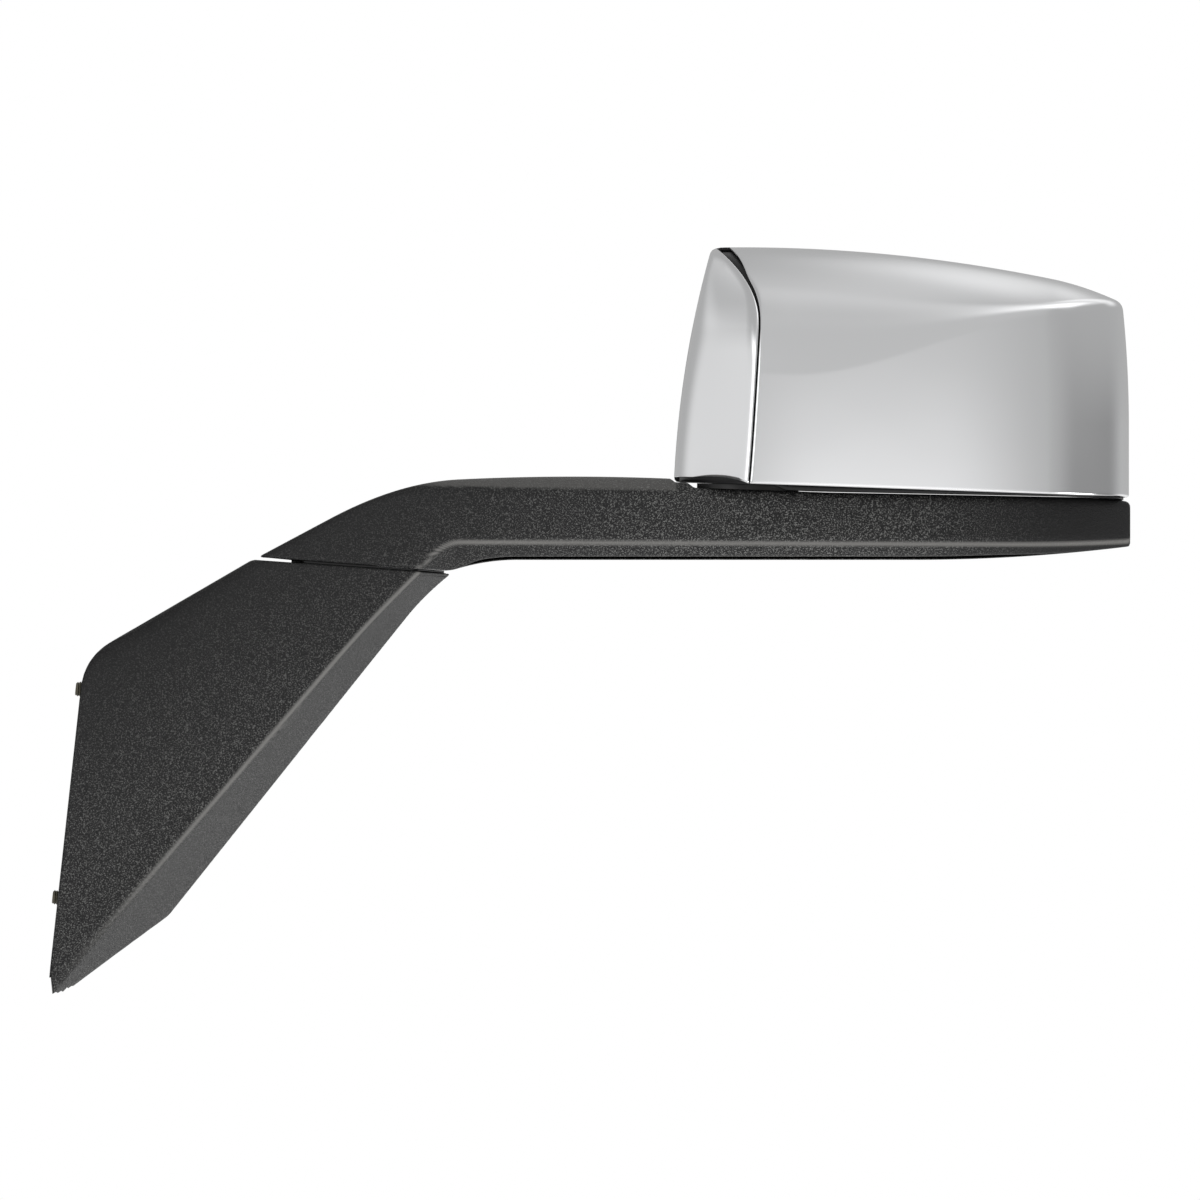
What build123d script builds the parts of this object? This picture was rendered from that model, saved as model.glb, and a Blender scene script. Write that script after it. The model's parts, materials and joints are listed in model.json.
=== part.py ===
from build123d import *

import os
from math import cos, radians, sin, tan

# Hood-mounted side mirror: a wedge base on the hood's flank, a bent arm that folds away on the base,
# and a chromed head on the arm with a convex glass on a ball joint.
# Millimetres. Origin: centre of the seat face, where the base meets the hood. +X runs out along the arm,
# +Z is up, -Y is the chromed side that faces forwards and +Y is the glass side that faces the driver.

os.makedirs("parts", exist_ok=True)

# ---------------------------------------------------------------- driving dimensions
# leans, in degrees, and the heights they start from
SEAT_LEAN = 6.4          # the seat from vertical
FOLD_LEAN = 4.1          # the fold axis from vertical; the split between base and arm falls by as much
PAN_LEAN = 2.0           # the head's turning axis from vertical; the head's underside falls by as much
SPLIT_START = Vector(88.2, 0, 131.7)
HEAD_FLOOR_START = Vector(317.4, 0, 173.9)

# walls and gaps
WALL = 3.0               # textured plastic covers
CHROME_WALL = 2.2
RUN = 0.05               # radial clearance of a running fit
FIT_GAP = 0.3            # gap between moulded pieces
SPLIT_GAP = 1.6          # between the base's top and the arm's underside

# base
DRAFT = 0.0905           # the base and the arm's root narrow by this much per side, per mm of X
FRONT_AT_ORIGIN = -48.2  # the base's front face at X = 0
REAR_AT_ORIGIN = 54.0
REAR_DRAFT = (REAR_AT_ORIGIN + FRONT_AT_ORIGIN) / 190 + DRAFT
ROOF_SLOPE = 0.582
BELLY_SLOPE = 0.7508
TOP_BEVEL = 2.3
KEEL_ROUND = 4.0         # on the wedge's long edges
COVER_SCREWS = [(96, 92), (62, 40)]          # base cover screws, (x, z) on the rear face
GASKET_T = 3.0
FLANGE_T = 9.0
STUD_R = 4.0
STUD_KNURL_R = 4.6
STUD_COLLAR_R = 7.5
STUD_LENGTH = 17.8       # beyond the seat
STUD_CHAMFER = 0.8
STUD_PLACES = [(58.5, -25.0), (58.5, 33.0), (-56.5, -20.0)]    # (up the seat, y)

# fold bearing
FOLD_X = 132.0           # the fold axis crosses the split here
FOLD_RANGE = 60.0        # degrees each way
FOLD_HOLE_R = 24.5       # in the covers, round the fold bearing
BOSS_R = 22.0
BOSS_DEPTH = 25.0
POST_R = 9.0
THREAD_R = 7.95          # the post below the disc springs
BUSH_R = 11.0
STOP_RADIUS = 16.0       # the stop pin's distance from the fold axis
STOP_PIN_R = 2.5
STOP_SLOT_HALF = 2.9
SPRING_COUNT = 4

# arm
ARM_KNEE = Vector(215, 28.7)   # beyond this X the arm narrows slowly; the second number is half its depth
ARM_TIP = Vector(567, 25.0)
ARM_PART = -6.0          # the arm's front and rear covers meet at this Y
ARM_SCREWS = [(180, 151), (250, 154), (322, 150), (440, 149), (530, 149)]    # (x, z) on the rear face
RIDGE_SLANT = Vector(0, 7, -9)   # the arm's lower bevel runs back and down in this direction
SADDLE = -3.0            # the arm's top under the head, measured along the head's axis
SADDLE_HOLE_R = 16.0
BEAM_HALF = 14.0
BEAM_BOSS_R = 15.0

# head pivot
PAN_X = 358.0            # the head's turning axis crosses the head's underside here
PAN_Y = -6.0             # forward of the arm's middle, to leave the tilting glass its room
HEAD_POST_R = 8.0
HEAD_THREAD_R = 5.95
PAD_R = 28.0
SPIGOT_R = 20.0
HEAD_BUSH_R = 10.0
PIVOT_WASHER_R = 12.5

# head
HEAD_REAR = 44.0         # the bezel's rear face
HEAD_PART = 20.0         # the chrome stops here and the black band starts
HOUSING_INSET = CHROME_WALL + FIT_GAP
HOUSING_WALL = 2.5
BEZEL_T = 5.0
CREASE = [(358.2, 150), (358.2, 172), (363.8, 258), (340, 303.4)]    # the end cap's edge, (x, z)
HOUSING_SCREWS = [(378, 232), (378, 266), (532, 205), (532, 248)]    # (x, z)
BRACKET_FRONT = 4.0      # the bracket's plate lies between these two
BRACKET_REAR = 8.0

# glass on its ball
BALL_CENTRE = Vector(449, 17, 227)
BALL_R = 10.0
LINER_R = BALL_R + 0.1
SOCKET_R = LINER_R + 1.9
SOCKET_WALL_R = 15.5
MOUTH = -5.0             # the socket's mouth, measured from the ball's centre
GLASS_R = 600.0          # radius of the convex glass
GLASS_APEX_Y = 39.0
GLASS_T = 2.0
FOAM_T = 1.0
CARRIER_T = 2.4


# ---------------------------------------------------------------- helpers
def lean_axis(degrees_from_vertical):
    """A unit vector that leans from +Z towards +X."""
    a = radians(degrees_from_vertical)
    return Vector(sin(a), 0, cos(a))


def keep_behind(solid, point, normal, inset=0.0):
    """The part of the solid that lies behind the plane whose outward normal is given, moved in by inset."""
    n = Vector(normal).normalized()
    return split(solid, bisect_by=Plane(origin=Vector(point) - n * inset, z_dir=n), keep=Keep.BOTTOM)


def outline_xz(points, radii):
    """A closed outline in front view with rounded corners."""
    return make_face(FilletPolyline(*points, radius=radii, close=True))


def slab_xz(face, y_rear, y_front):
    """A flat outline drawn as (x, z), made solid from y_rear forwards to y_front."""
    return extrude(Plane.XZ.offset(-y_rear) * face, amount=y_rear - y_front)


def slab_xy(face, z_low, z_high):
    """A flat outline drawn as (x, y), made solid from z_low up to z_high."""
    return extrude(Plane.XY.offset(z_low) * face, amount=z_high - z_low)


def slab_yz(face, x_low, x_high):
    """A flat outline drawn as (y, z), made solid from x_low out to x_high."""
    return extrude(Plane.YZ.offset(x_low) * face, amount=x_high - x_low)


def rod(point, axis, low, high, r):
    """A cylinder on the line through point, between two heights along its axis."""
    a = Vector(axis).normalized()
    return Plane(origin=Vector(point) + a * low, z_dir=a) * Cylinder(
        r, high - low, align=(Align.CENTER, Align.CENTER, Align.MIN))


def tube(point, axis, low, high, r_out, r_in):
    """A cylinder with a round hole along it."""
    return rod(point, axis, low, high, r_out) - rod(point, axis, low - 1, high + 1, r_in)


def hex_bar(point, axis, low, high, across_flats):
    """A hexagonal bar on the line through point."""
    a = Vector(axis).normalized()
    frame = Plane(origin=Vector(point) + a * low, z_dir=a)
    return extrude(frame * RegularPolygon(across_flats / 2, 6, major_radius=False), amount=high - low)


def hex_nut(point, axis, low, high, across_flats, r_in):
    """A nut with its corners turned off."""
    bar = hex_bar(point, axis, low, high, across_flats) & rod(point, axis, low, high, across_flats * 0.56)
    return bar - rod(point, axis, low - 1, high + 1, r_in)


def export(name, shape):
    """Writes one node, as a plain compound if it holds several solids."""
    solids = shape.solids()
    export_step(solids[0] if len(solids) == 1 else Compound(children=list(solids)), f"parts/{name}.step")


# ---------------------------------------------------------------- frames of the three axes
SEAT_OUT = Vector(-cos(radians(SEAT_LEAN)), 0, sin(radians(SEAT_LEAN)))   # towards the hood
SEAT_UP = Vector(sin(radians(SEAT_LEAN)), 0, cos(radians(SEAT_LEAN)))
FOLD_AXIS = lean_axis(FOLD_LEAN)
FOLD_POINT = Vector(FOLD_X, 0, SPLIT_START.Z - (FOLD_X - SPLIT_START.X) * tan(radians(FOLD_LEAN)))
PAN_AXIS = lean_axis(PAN_LEAN)
PAN_POINT = Vector(PAN_X, PAN_Y, HEAD_FLOOR_START.Z - (PAN_X - HEAD_FLOOR_START.X) * tan(radians(PAN_LEAN)))


def on_seat(up, y, out=0.0):
    """A point given by its height along the leaning seat, its y and its distance out from the seat."""
    return SEAT_UP * up + Vector(0, y, 0) + SEAT_OUT * out


# ---------------------------------------------------------------- base
RIDGE_TOP = Vector(179.3, FRONT_AT_ORIGIN + DRAFT * 179.3, 124.9)
RIDGE_FOOT = Vector(-17, FRONT_AT_ORIGIN - DRAFT * 17, -97.4)
TOE = Vector(-40.5, FRONT_AT_ORIGIN - DRAFT * 40.5, -124)    # beyond the rim, where ridge and belly would meet
BELLY_CORNER = Vector(38.7, 50.5, -65.2)
HEEL_CORNER = Vector(-18.7, 56, -35)


def plane_through(a, b, c, outward):
    """A point and a normal of the plane through three points, with the normal on the outward side."""
    n = (b - a).cross(c - a).normalized()
    return a, n if n.dot(Vector(outward)) > 0 else n * -1


def base_outline(past_rim):
    """The base in front view, closed along its rim or running on past it by the distance given."""
    rim_top, toe = Vector(-6.15, 77.4), Vector(-27.5, -114.3)
    points = [
        (rim_top.X - past_rim, rim_top.Y - past_rim * ROOF_SLOPE),
        (SPLIT_START.X, SPLIT_START.Z - SPLIT_GAP / 2),
        (197.2, SPLIT_START.Z - (197.2 - SPLIT_START.X) * tan(radians(FOLD_LEAN)) - SPLIT_GAP / 2),
        (178.6, 110.2),
        (BELLY_CORNER.X, BELLY_CORNER.Z),
        (toe.X - past_rim, toe.Y - past_rim * BELLY_SLOPE),
    ]
    ends = (0.5, 0.5) if past_rim else (18.0, 5.5)
    return outline_xz(points, [ends[0], 0.6, 0.6, 95.0, 60.0, ends[1]])


def base_planes():
    """Points and outward normals of the wedge's front, rear, ridge and heel faces and its two top bevels."""
    front = Vector(DRAFT, -1, 0).normalized()
    rear = Vector(REAR_DRAFT, 1, 0).normalized()
    roof = Vector(-ROOF_SLOPE, 0, 1).normalized()
    roof_front = Vector(SPLIT_START.X, FRONT_AT_ORIGIN + DRAFT * SPLIT_START.X, SPLIT_START.Z)
    roof_rear = Vector(SPLIT_START.X, base_rear_y(SPLIT_START.X), SPLIT_START.Z)
    return [
        (Vector(0, FRONT_AT_ORIGIN, 0), front),
        (Vector(0, REAR_AT_ORIGIN, 0), rear),
        plane_through(RIDGE_TOP, RIDGE_FOOT, BELLY_CORNER, (1, 0, -1)),
        plane_through(BELLY_CORNER, TOE, HEEL_CORNER, (0, 1, -1)),
        (roof_front - (front + roof).normalized() * TOP_BEVEL, front + roof),
        (roof_rear - (rear + roof).normalized() * TOP_BEVEL, rear + roof),
    ]


def base_form(inset=0.0, rounding=0.0, past_rim=40.0):
    """The wedge: a block cut by its planes, then by its front view, all moved in by inset."""
    block = Pos(60, 0, 0) * Box(400, 200, 400)
    for point, normal in base_planes()[:4]:
        block = keep_behind(block, point, normal, inset)
    if rounding:
        keel = [e for e in block.edges() if abs((e @ 0.5).Y) < 90 and (e @ 0.5).Z < 150 and e.length > 150]
        block = fillet([e for e in keel if abs((e @ 0.5).X - 60) < 190], rounding)
    for point, normal in base_planes()[4:]:
        block = keep_behind(block, point, normal, inset)
    outline = base_outline(past_rim)
    return block & slab_xz(offset(outline, -inset, kind=Kind.ARC) if inset else outline, 120, -120)


def base_rear_y(x):
    """Where the base's rear face lies at a distance along the arm."""
    return REAR_AT_ORIGIN - x * REAR_DRAFT


def make_base_cover():
    outer = base_form(rounding=KEEL_ROUND, past_rim=0.0)
    shell = outer - base_form(WALL)
    shell -= rod(FOLD_POINT, FOLD_AXIS, -12, 2, FOLD_HOLE_R)
    for x, z in COVER_SCREWS:
        rear = base_rear_y(x)
        shell += rod((x, rear, z), (0, 1, 0), -9.0, -0.8, 9.0)
        shell -= rod((x, rear, z), (0, 1, 0), -6.0, 6.0, 6.5)
        shell -= rod((x, rear, z), (0, 1, 0), -12.0, 0.0, 3.0)
    return shell


def make_base_bracket():
    """Cast foot: a flange on the hood side, two webs and a round boss for the fold bearing."""
    inner = base_form(WALL + 1.2)
    flange = keep_behind(inner, SEAT_OUT * -GASKET_T, SEAT_OUT)
    flange = keep_behind(flange, SEAT_OUT * -(GASKET_T + FLANGE_T), SEAT_OUT * -1)
    flange = keep_behind(flange, on_seat(70, 0), SEAT_UP)
    flange = keep_behind(flange, on_seat(-76, 0), SEAT_UP * -1)
    web_points = [(2, -62), (14, -62), (70, 25), (118, 84), (120, 118), (96, 112), (14, 64), (8, 64)]
    webs = Part()
    for y in (-15, 15):
        webs += slab_xz(make_face(Polyline(*web_points, close=True)), y + 3.5, y - 3.5)
    floor_points = [(2, -2), (60, 44), (112, 92), (112, 84), (64, 34), (8, -12)]
    floor = slab_xz(make_face(Polyline(*floor_points, close=True)), 14, -14)
    webs = (webs + floor) & inner
    webs = keep_behind(webs, SEAT_OUT * -(GASKET_T + 5), SEAT_OUT)
    boss = rod(FOLD_POINT, FOLD_AXIS, -BOSS_DEPTH, -1.05, BOSS_R) & inner
    boss += rod(FOLD_POINT, FOLD_AXIS, -9, -1.05, BOSS_R)
    body = flange + webs + boss
    body -= rod(FOLD_POINT, FOLD_AXIS, -60, 2, BUSH_R)
    body -= rod(FOLD_POINT, FOLD_AXIS, -60, -BOSS_DEPTH, 19.5)
    body -= stop_slot(-8, 2)
    for up, y in STUD_PLACES:
        body -= rod(on_seat(up, y), SEAT_OUT, -40, 2, STUD_KNURL_R)
        body -= rod(on_seat(up, y), SEAT_OUT, -60, -(GASKET_T + FLANGE_T), 10.0)
    for x, z in COVER_SCREWS:
        rear = base_rear_y(x)
        body += rod((x, rear, z), (0, 1, 0), -rear + 10, -9.3, 6.0)
        body -= rod((x, rear, z), (0, 1, 0), -24, 0, 2.5)
    return body


def stop_slot(low, high):
    """The curved slot that the stop pin runs in, about the fold axis."""
    frame = Plane(origin=FOLD_POINT + FOLD_AXIS * low, x_dir=(FOLD_AXIS.Z, 0, -FOLD_AXIS.X), z_dir=FOLD_AXIS)
    reach = FOLD_RANGE + 2
    path = CenterArc((0, 0), STOP_RADIUS, -reach, 2 * reach)
    slot = SlotArc(path, 2 * STOP_SLOT_HALF)
    return extrude(frame * slot, amount=high - low)


def make_base_gasket():
    sheet = keep_behind(base_form(WALL + 2.0), Vector(0, 0, 0), SEAT_OUT)
    sheet = keep_behind(sheet, SEAT_OUT * -GASKET_T, SEAT_OUT * -1)
    sheet = keep_behind(sheet, on_seat(69, 0), SEAT_UP)
    sheet = keep_behind(sheet, on_seat(-75, 0), SEAT_UP * -1)
    for up, y in STUD_PLACES:
        sheet -= rod(on_seat(up, y), SEAT_OUT, -10, 5, 8.0)
    return sheet


def make_mounting_studs():
    studs = []
    for up, y in STUD_PLACES:
        foot = on_seat(up, y)
        stud = rod(foot, SEAT_OUT, -(GASKET_T + FLANGE_T) + 0.5, 0, STUD_KNURL_R)
        stud += rod(foot, SEAT_OUT, -GASKET_T, 0, STUD_COLLAR_R)
        stud += rod(foot, SEAT_OUT, -1, STUD_LENGTH - STUD_CHAMFER, STUD_R)
        tip = Plane(origin=foot + SEAT_OUT * (STUD_LENGTH - STUD_CHAMFER), z_dir=SEAT_OUT) * Cone(
            STUD_R, STUD_R - STUD_CHAMFER, STUD_CHAMFER, align=(Align.CENTER, Align.CENTER, Align.MIN))
        studs.append(stud + tip)
    return Compound(children=[s.solids()[0] for s in studs])


def pan_screw(point, axis, head_r, head_h, shank_r, length):
    """A screw with a domed head on the axis' outer side and its shank running inwards."""
    a = Vector(axis).normalized()
    head = rod(point, a, 0, head_h, head_r)
    rim = head.edges().sort_by(lambda e: (e.center() - Vector(point)).dot(a))[-1]
    head = fillet(rim, head_h * 0.45)
    socket = hex_bar(point, a, head_h * 0.4, head_h + 1, head_r * 0.9)
    return head - socket + rod(point, a, -length, 0.01, shank_r)


def make_base_cover_screws():
    screws = [pan_screw((x, base_rear_y(x) - 6.0, z), (0, 1, 0), 5.0, 3.0, 2.5, 16)
              for x, z in COVER_SCREWS]
    return Compound(children=[s.solids()[0] for s in screws])


# ---------------------------------------------------------------- fold bearing
def make_fold_bush():
    return tube(FOLD_POINT, FOLD_AXIS, -BOSS_DEPTH, -1.05, BUSH_R, POST_R + RUN)


def make_wear_disc():
    disc = tube(FOLD_POINT, FOLD_AXIS, -1.0, 0.9, 21.5, POST_R + 0.4)
    return disc - stop_slot(-2, 2)


def make_fold_post():
    post = rod(FOLD_POINT, FOLD_AXIS, -27.0, 15.0, POST_R)
    return post + rod(FOLD_POINT, FOLD_AXIS, -42.0, -26.5, THREAD_R)


def make_disc_springs():
    """Coned spring washers, stacked in facing pairs."""
    inner, outer, thick, rise, pitch = POST_R + 0.2, 17.0, 1.0, 0.8, 2.0
    cones = []
    for i in range(SPRING_COUNT):
        low = -BOSS_DEPTH - 1.6 - pitch * (i + 1)
        if i % 2:
            section = [(inner, 0), (outer, rise), (outer, rise + thick), (inner, thick)]
        else:
            section = [(inner, rise), (outer, 0), (outer, thick), (inner, rise + thick)]
        frame = Plane(origin=FOLD_POINT + FOLD_AXIS * low, x_dir=(0, 1, 0), z_dir=FOLD_AXIS)
        face = make_face(Plane.XZ * Polyline(*section, close=True))
        cones.append(frame * revolve(face, Axis.Z))
    return Compound(children=[c.solids()[0] for c in cones])


def make_thrust_washer():
    return tube(FOLD_POINT, FOLD_AXIS, -BOSS_DEPTH - 1.6, -BOSS_DEPTH - 0.1, 17.5, POST_R + 0.2)


def make_fold_nut():
    return hex_nut(FOLD_POINT, FOLD_AXIS, -BOSS_DEPTH - 16.4, -BOSS_DEPTH - 9.8, 24.0, THREAD_R + 0.05)


def make_stop_pin():
    side = Vector(FOLD_AXIS.Z, 0, -FOLD_AXIS.X) * STOP_RADIUS
    return rod(FOLD_POINT + side, FOLD_AXIS, -6.5, 11.0, STOP_PIN_R)


# ---------------------------------------------------------------- arm
def arm_half(x):
    """Half the arm's depth at a distance along it."""
    if x < ARM_KNEE.X:
        return ARM_KNEE.Y + (ARM_KNEE.X - x) * DRAFT
    return ARM_KNEE.Y + (x - ARM_KNEE.X) * (ARM_TIP.Y - ARM_KNEE.Y) / (ARM_TIP.X - ARM_KNEE.X)


def split_point(x):
    """The arm's underside over the base, in front view."""
    z = SPLIT_START.Z - (x - SPLIT_START.X) * tan(radians(FOLD_LEAN))
    return x, z + SPLIT_GAP / 2


def arm_outline(front):
    """The arm in front view. The front cover's underside sits a little higher than the rear cover's."""
    lift = 1.6 if front else 0.0
    points = [
        split_point(88.6), split_point(191.5), (212, 130.4 + lift), (330, 131.3 + lift), (430, 130.3 + lift),
        (500, 131.4 + lift), (567.8, 138.0 + lift / 2), (568.0, 162.6), (540, 165.3), (400, 168.0),
        (318, 175.4), (256, 176.9), (180, 173.6), (136, 158.0),
    ]
    radii = [0.5, 2.0, 30, 300, 300, 120, 3.0, 3.5, 60, 40, 30, 300, 90, 60]
    return outline_xz(points, radii)


def arm_plan():
    """The arm from above."""
    half = arm_half(70)
    points = [(70, -half), (ARM_KNEE.X, -ARM_KNEE.Y), (ARM_TIP.X, -ARM_TIP.Y),
              (ARM_TIP.X + 2, ARM_TIP.Y), (ARM_KNEE.X, ARM_KNEE.Y), (70, half)]
    return outline_xz(points, [1, 400, 5, 5, 400, 1])


def ridge_region():
    """Everything below the arm's ridge, in front view."""
    edges = [
        Line((150, 91), (184, 131)),
        ThreePointArc((184, 131), (198, 137.6), (216, 140.0)),
        Line((216, 140.0), (490, 139.0)),
        Line((490, 139.0), (600, 142.0)),
        Line((600, 142.0), (600, 80)),
        Line((600, 80), (150, 80)),
        Line((150, 80), (150, 91)),
    ]
    return make_face(Curve(edges))


def lower_bevel(side, inset):
    """What the bevel under the ridge takes off, on the front (-1) or the rear (1)."""
    reach = 3.0
    slant = Vector(0, -side * RIDGE_SLANT.Y, RIDGE_SLANT.Z)
    start = Vector(0, side * (ARM_KNEE.Y - 1), 0) - slant * reach
    wedge = extrude(Plane.XZ * ridge_region(), amount=slant.length * 2 * reach, dir=slant.normalized())
    into = Vector(0, -side * -RIDGE_SLANT.Z, RIDGE_SLANT.Y).normalized() * inset
    return wedge.moved(Location(start + into))


def saddle_cut(inset):
    """What is taken off the arm's top so that the head can turn over it."""
    points = [(316, -45), (316, -7), (303.5, 30), (303.5, 45), (400, 45), (400, -45)]
    block = slab_xy(make_face(Polyline(*points, close=True)), 140, 200)
    block = keep_behind(block, PAN_POINT + PAN_AXIS * SADDLE, PAN_AXIS * -1)
    return block.moved(Location((-inset, 0, -inset)))


def arm_form(front, inset=0.0):
    """The arm's solid form: its front view, its plan, a bevelled crown and a bevel under the ridge."""
    shrink = (lambda face: offset(face, -inset, kind=Kind.ARC)) if inset else (lambda face: face)
    form = slab_xz(shrink(arm_outline(front)), 60, -60) & slab_xy(shrink(arm_plan()), 100, 200)
    for side in (-1, 1):
        a = Vector(170, side * arm_half(170), 171.0)
        b = Vector(330, side * arm_half(330), 168.2)
        c = Vector(250, side * (arm_half(250) - 6.5), 176.7)
        form = keep_behind(form, *plane_through(a, b, c, (0, side, 1)), inset)
        form -= lower_bevel(side, inset)
    return form - saddle_cut(inset)


def arm_shell(front):
    """The arm's skin with its bearing holes, before it is parted into front and rear covers."""
    shell = arm_form(front) - arm_form(front, WALL)
    shell -= rod(FOLD_POINT, FOLD_AXIS, -2, 9, FOLD_HOLE_R)
    return shell - rod(PAN_POINT, PAN_AXIS, -16, 8, SADDLE_HOLE_R)


def make_arm_cover_front():
    shell = keep_behind(arm_shell(True), (0, ARM_PART - FIT_GAP / 2, 0), (0, 1, 0))
    return shell.solids().sort_by(SortBy.VOLUME)[-1]


def make_arm_cover_rear():
    shell = keep_behind(arm_shell(False), (0, ARM_PART + FIT_GAP / 2, 0), (0, -1, 0))
    for x, z in ARM_SCREWS:
        face = (x, arm_half(x), z)
        shell += rod(face, (0, 1, 0), -11.0, -0.5, 8.0)
        shell -= rod(face, (0, 1, 0), -7.0, 3.0, 6.0)
        shell -= rod(face, (0, 1, 0), -14.0, 0.0, 3.0)
    return shell.solids().sort_by(SortBy.VOLUME)[-1]


def make_arm_beam():
    """Cast beam: a solid web with flanges, a boss on the base and a boss under the head."""
    core = arm_form(True, WALL + 1.0)
    room = arm_form(False, WALL + 0.6)
    beam = keep_behind(core, (0, BEAM_HALF, 0), (0, 1, 0))
    beam = keep_behind(beam, (0, -BEAM_HALF, 0), (0, -1, 0))
    pockets = [(178, 153, 34, 14), (232, 153, 44, 22), (290, 153, 44, 22), (410, 149, 44, 16),
               (465, 149, 34, 16), (510, 149, 30, 14)]
    for x, z, w, h in pockets:
        pocket = fillet(Rectangle(w, h).vertices(), 4)
        for y in (-9.0, 9.0):
            beam -= slab_xz(Pos(x, z) * pocket, y + 6.0, y - 6.0)
    beam += rod(FOLD_POINT, FOLD_AXIS, 1.0, 17.5, BOSS_R) & room
    beam += rod(FOLD_POINT, FOLD_AXIS, 1.0, 8.0, BOSS_R)
    beam += rod(PAN_POINT, PAN_AXIS, -34, SADDLE, BEAM_BOSS_R) & room
    beam += rod(PAN_POINT, PAN_AXIS, -16, SADDLE, BEAM_BOSS_R)
    for x, z in ARM_SCREWS:
        beam += rod((x, 0, z), (0, 1, 0), 8, arm_half(x) - 11.3, 5.5)
        beam -= rod((x, 0, z), (0, 1, 0), 3, arm_half(x), 2.5)
    beam -= rod(FOLD_POINT, FOLD_AXIS, 0, 15.0, POST_R)
    beam -= make_stop_pin()
    beam -= rod(PAN_POINT, PAN_AXIS, -30, 5, HEAD_POST_R)
    return beam.solids().sort_by(SortBy.VOLUME)[-1]


def make_arm_cover_screws():
    screws = [pan_screw((x, arm_half(x) - 7.0, z), (0, 1, 0), 4.8, 3.0, 2.5, 13.5) for x, z in ARM_SCREWS]
    return Compound(children=[s.solids()[0] for s in screws])


# ---------------------------------------------------------------- head pivot
def make_head_post():
    post = rod(PAN_POINT, PAN_AXIS, -30, 30, HEAD_POST_R)
    return post + rod(PAN_POINT, PAN_AXIS, 29, 52, HEAD_THREAD_R)


def make_pivot_pad():
    """The black turret under the head: a disc on the arm's saddle and a spigot in the head's floor."""
    pad = rod(PAN_POINT, PAN_AXIS, SADDLE, -0.4, PAD_R) + rod(PAN_POINT, PAN_AXIS, -1, 4.0, SPIGOT_R)
    return pad - rod(PAN_POINT, PAN_AXIS, -5, 6, HEAD_POST_R + 0.1)


def make_head_bush():
    return tube(PAN_POINT, PAN_AXIS, 4.2, 28.2, HEAD_BUSH_R, HEAD_POST_R + RUN)


def make_head_spring():
    """Coil spring on the head post."""
    helix = Helix(pitch=4.2, height=12.6, radius=9.4)
    frame = Plane(origin=PAN_POINT + PAN_AXIS * 31.6, x_dir=(0, 1, 0), z_dir=PAN_AXIS)
    wire_section = Plane(origin=helix @ 0, z_dir=helix % 0) * Circle(1.3)
    return frame * sweep(wire_section, path=helix)


def make_spring_seat():
    return tube(PAN_POINT, PAN_AXIS, 28.4, 30.0, PIVOT_WASHER_R, HEAD_POST_R + 0.2)


def make_spring_cap():
    return tube(PAN_POINT, PAN_AXIS, 45.8, 47.4, PIVOT_WASHER_R, HEAD_THREAD_R + 0.2)


def make_head_nut():
    return hex_nut(PAN_POINT, PAN_AXIS, 47.5, 51.5, 19.0, HEAD_THREAD_R + 0.05)


# ---------------------------------------------------------------- head shells
def head_front_face():
    """The head in front view, running on below its underside."""
    low = 140
    edges = [
        Line((317.2, low), (317.2, 172)),
        ThreePointArc((317.2, 172), (322.6, 231), (337.6, 300)),
        Line((337.6, 300), (345, 303.2)),
        ThreePointArc((345, 303.2), (420, 300.9), (482, 294.0)),
        ThreePointArc((482, 294.0), (524, 286.2), (565.4, 271.5)),
        ThreePointArc((565.4, 271.5), (568.4, 225), (568.6, 172)),
        Line((568.6, 172), (568.6, low)),
        Line((568.6, low), (317.2, low)),
    ]
    return make_face(Curve(edges))


def head_plan_face():
    """The head from above: a raked inboard end, a crowned front and a rounded outboard end."""
    rear = HEAD_REAR + 30
    edges = [
        Line((317.2, rear), (317.4, -4)),
        Line((317.4, -4), (362, -58)),
        ThreePointArc((362, -58), (440, -62), (536, -50)),
        ThreePointArc((536, -50), (558, -38), (566.5, -14)),
        Line((566.5, -14), (568.6, rear)),
        Line((568.6, rear), (317.2, rear)),
    ]
    return make_face(Curve(edges))


def head_side_face():
    """The head's section: a nearly upright front and a roof that climbs to the rear."""
    rear = HEAD_REAR + 30
    edges = [
        Line((-62.5, 140), (-60.5, 262)),
        ThreePointArc((-60.5, 262), (-28, 288.5), (HEAD_PART, 302.3)),
        Line((HEAD_PART, 302.3), (HEAD_REAR, 303.8)),
        Line((HEAD_REAR, 303.8), (rear, 305.7)),
        Line((rear, 305.7), (rear, 140)),
        Line((rear, 140), (-62.5, 140)),
    ]
    return make_face(Curve(edges))


def head_form(inset=0.0, floor=0.0, rear=HEAD_REAR):
    """The head's solid form, moved in by inset, cut off at its floor and at its rear."""
    shrink = (lambda face: offset(face, -inset, kind=Kind.ARC)) if inset else (lambda face: face)
    form = slab_xz(shrink(head_front_face()), 80, -80)
    form &= slab_xy(shrink(head_plan_face()), 130, 320)
    form &= slab_yz(shrink(head_side_face()), 300, 590)
    form = keep_behind(form, HEAD_FLOOR_START, PAN_AXIS * -1, floor)
    return keep_behind(form, (0, rear, 0), (0, 1, 0))


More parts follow.
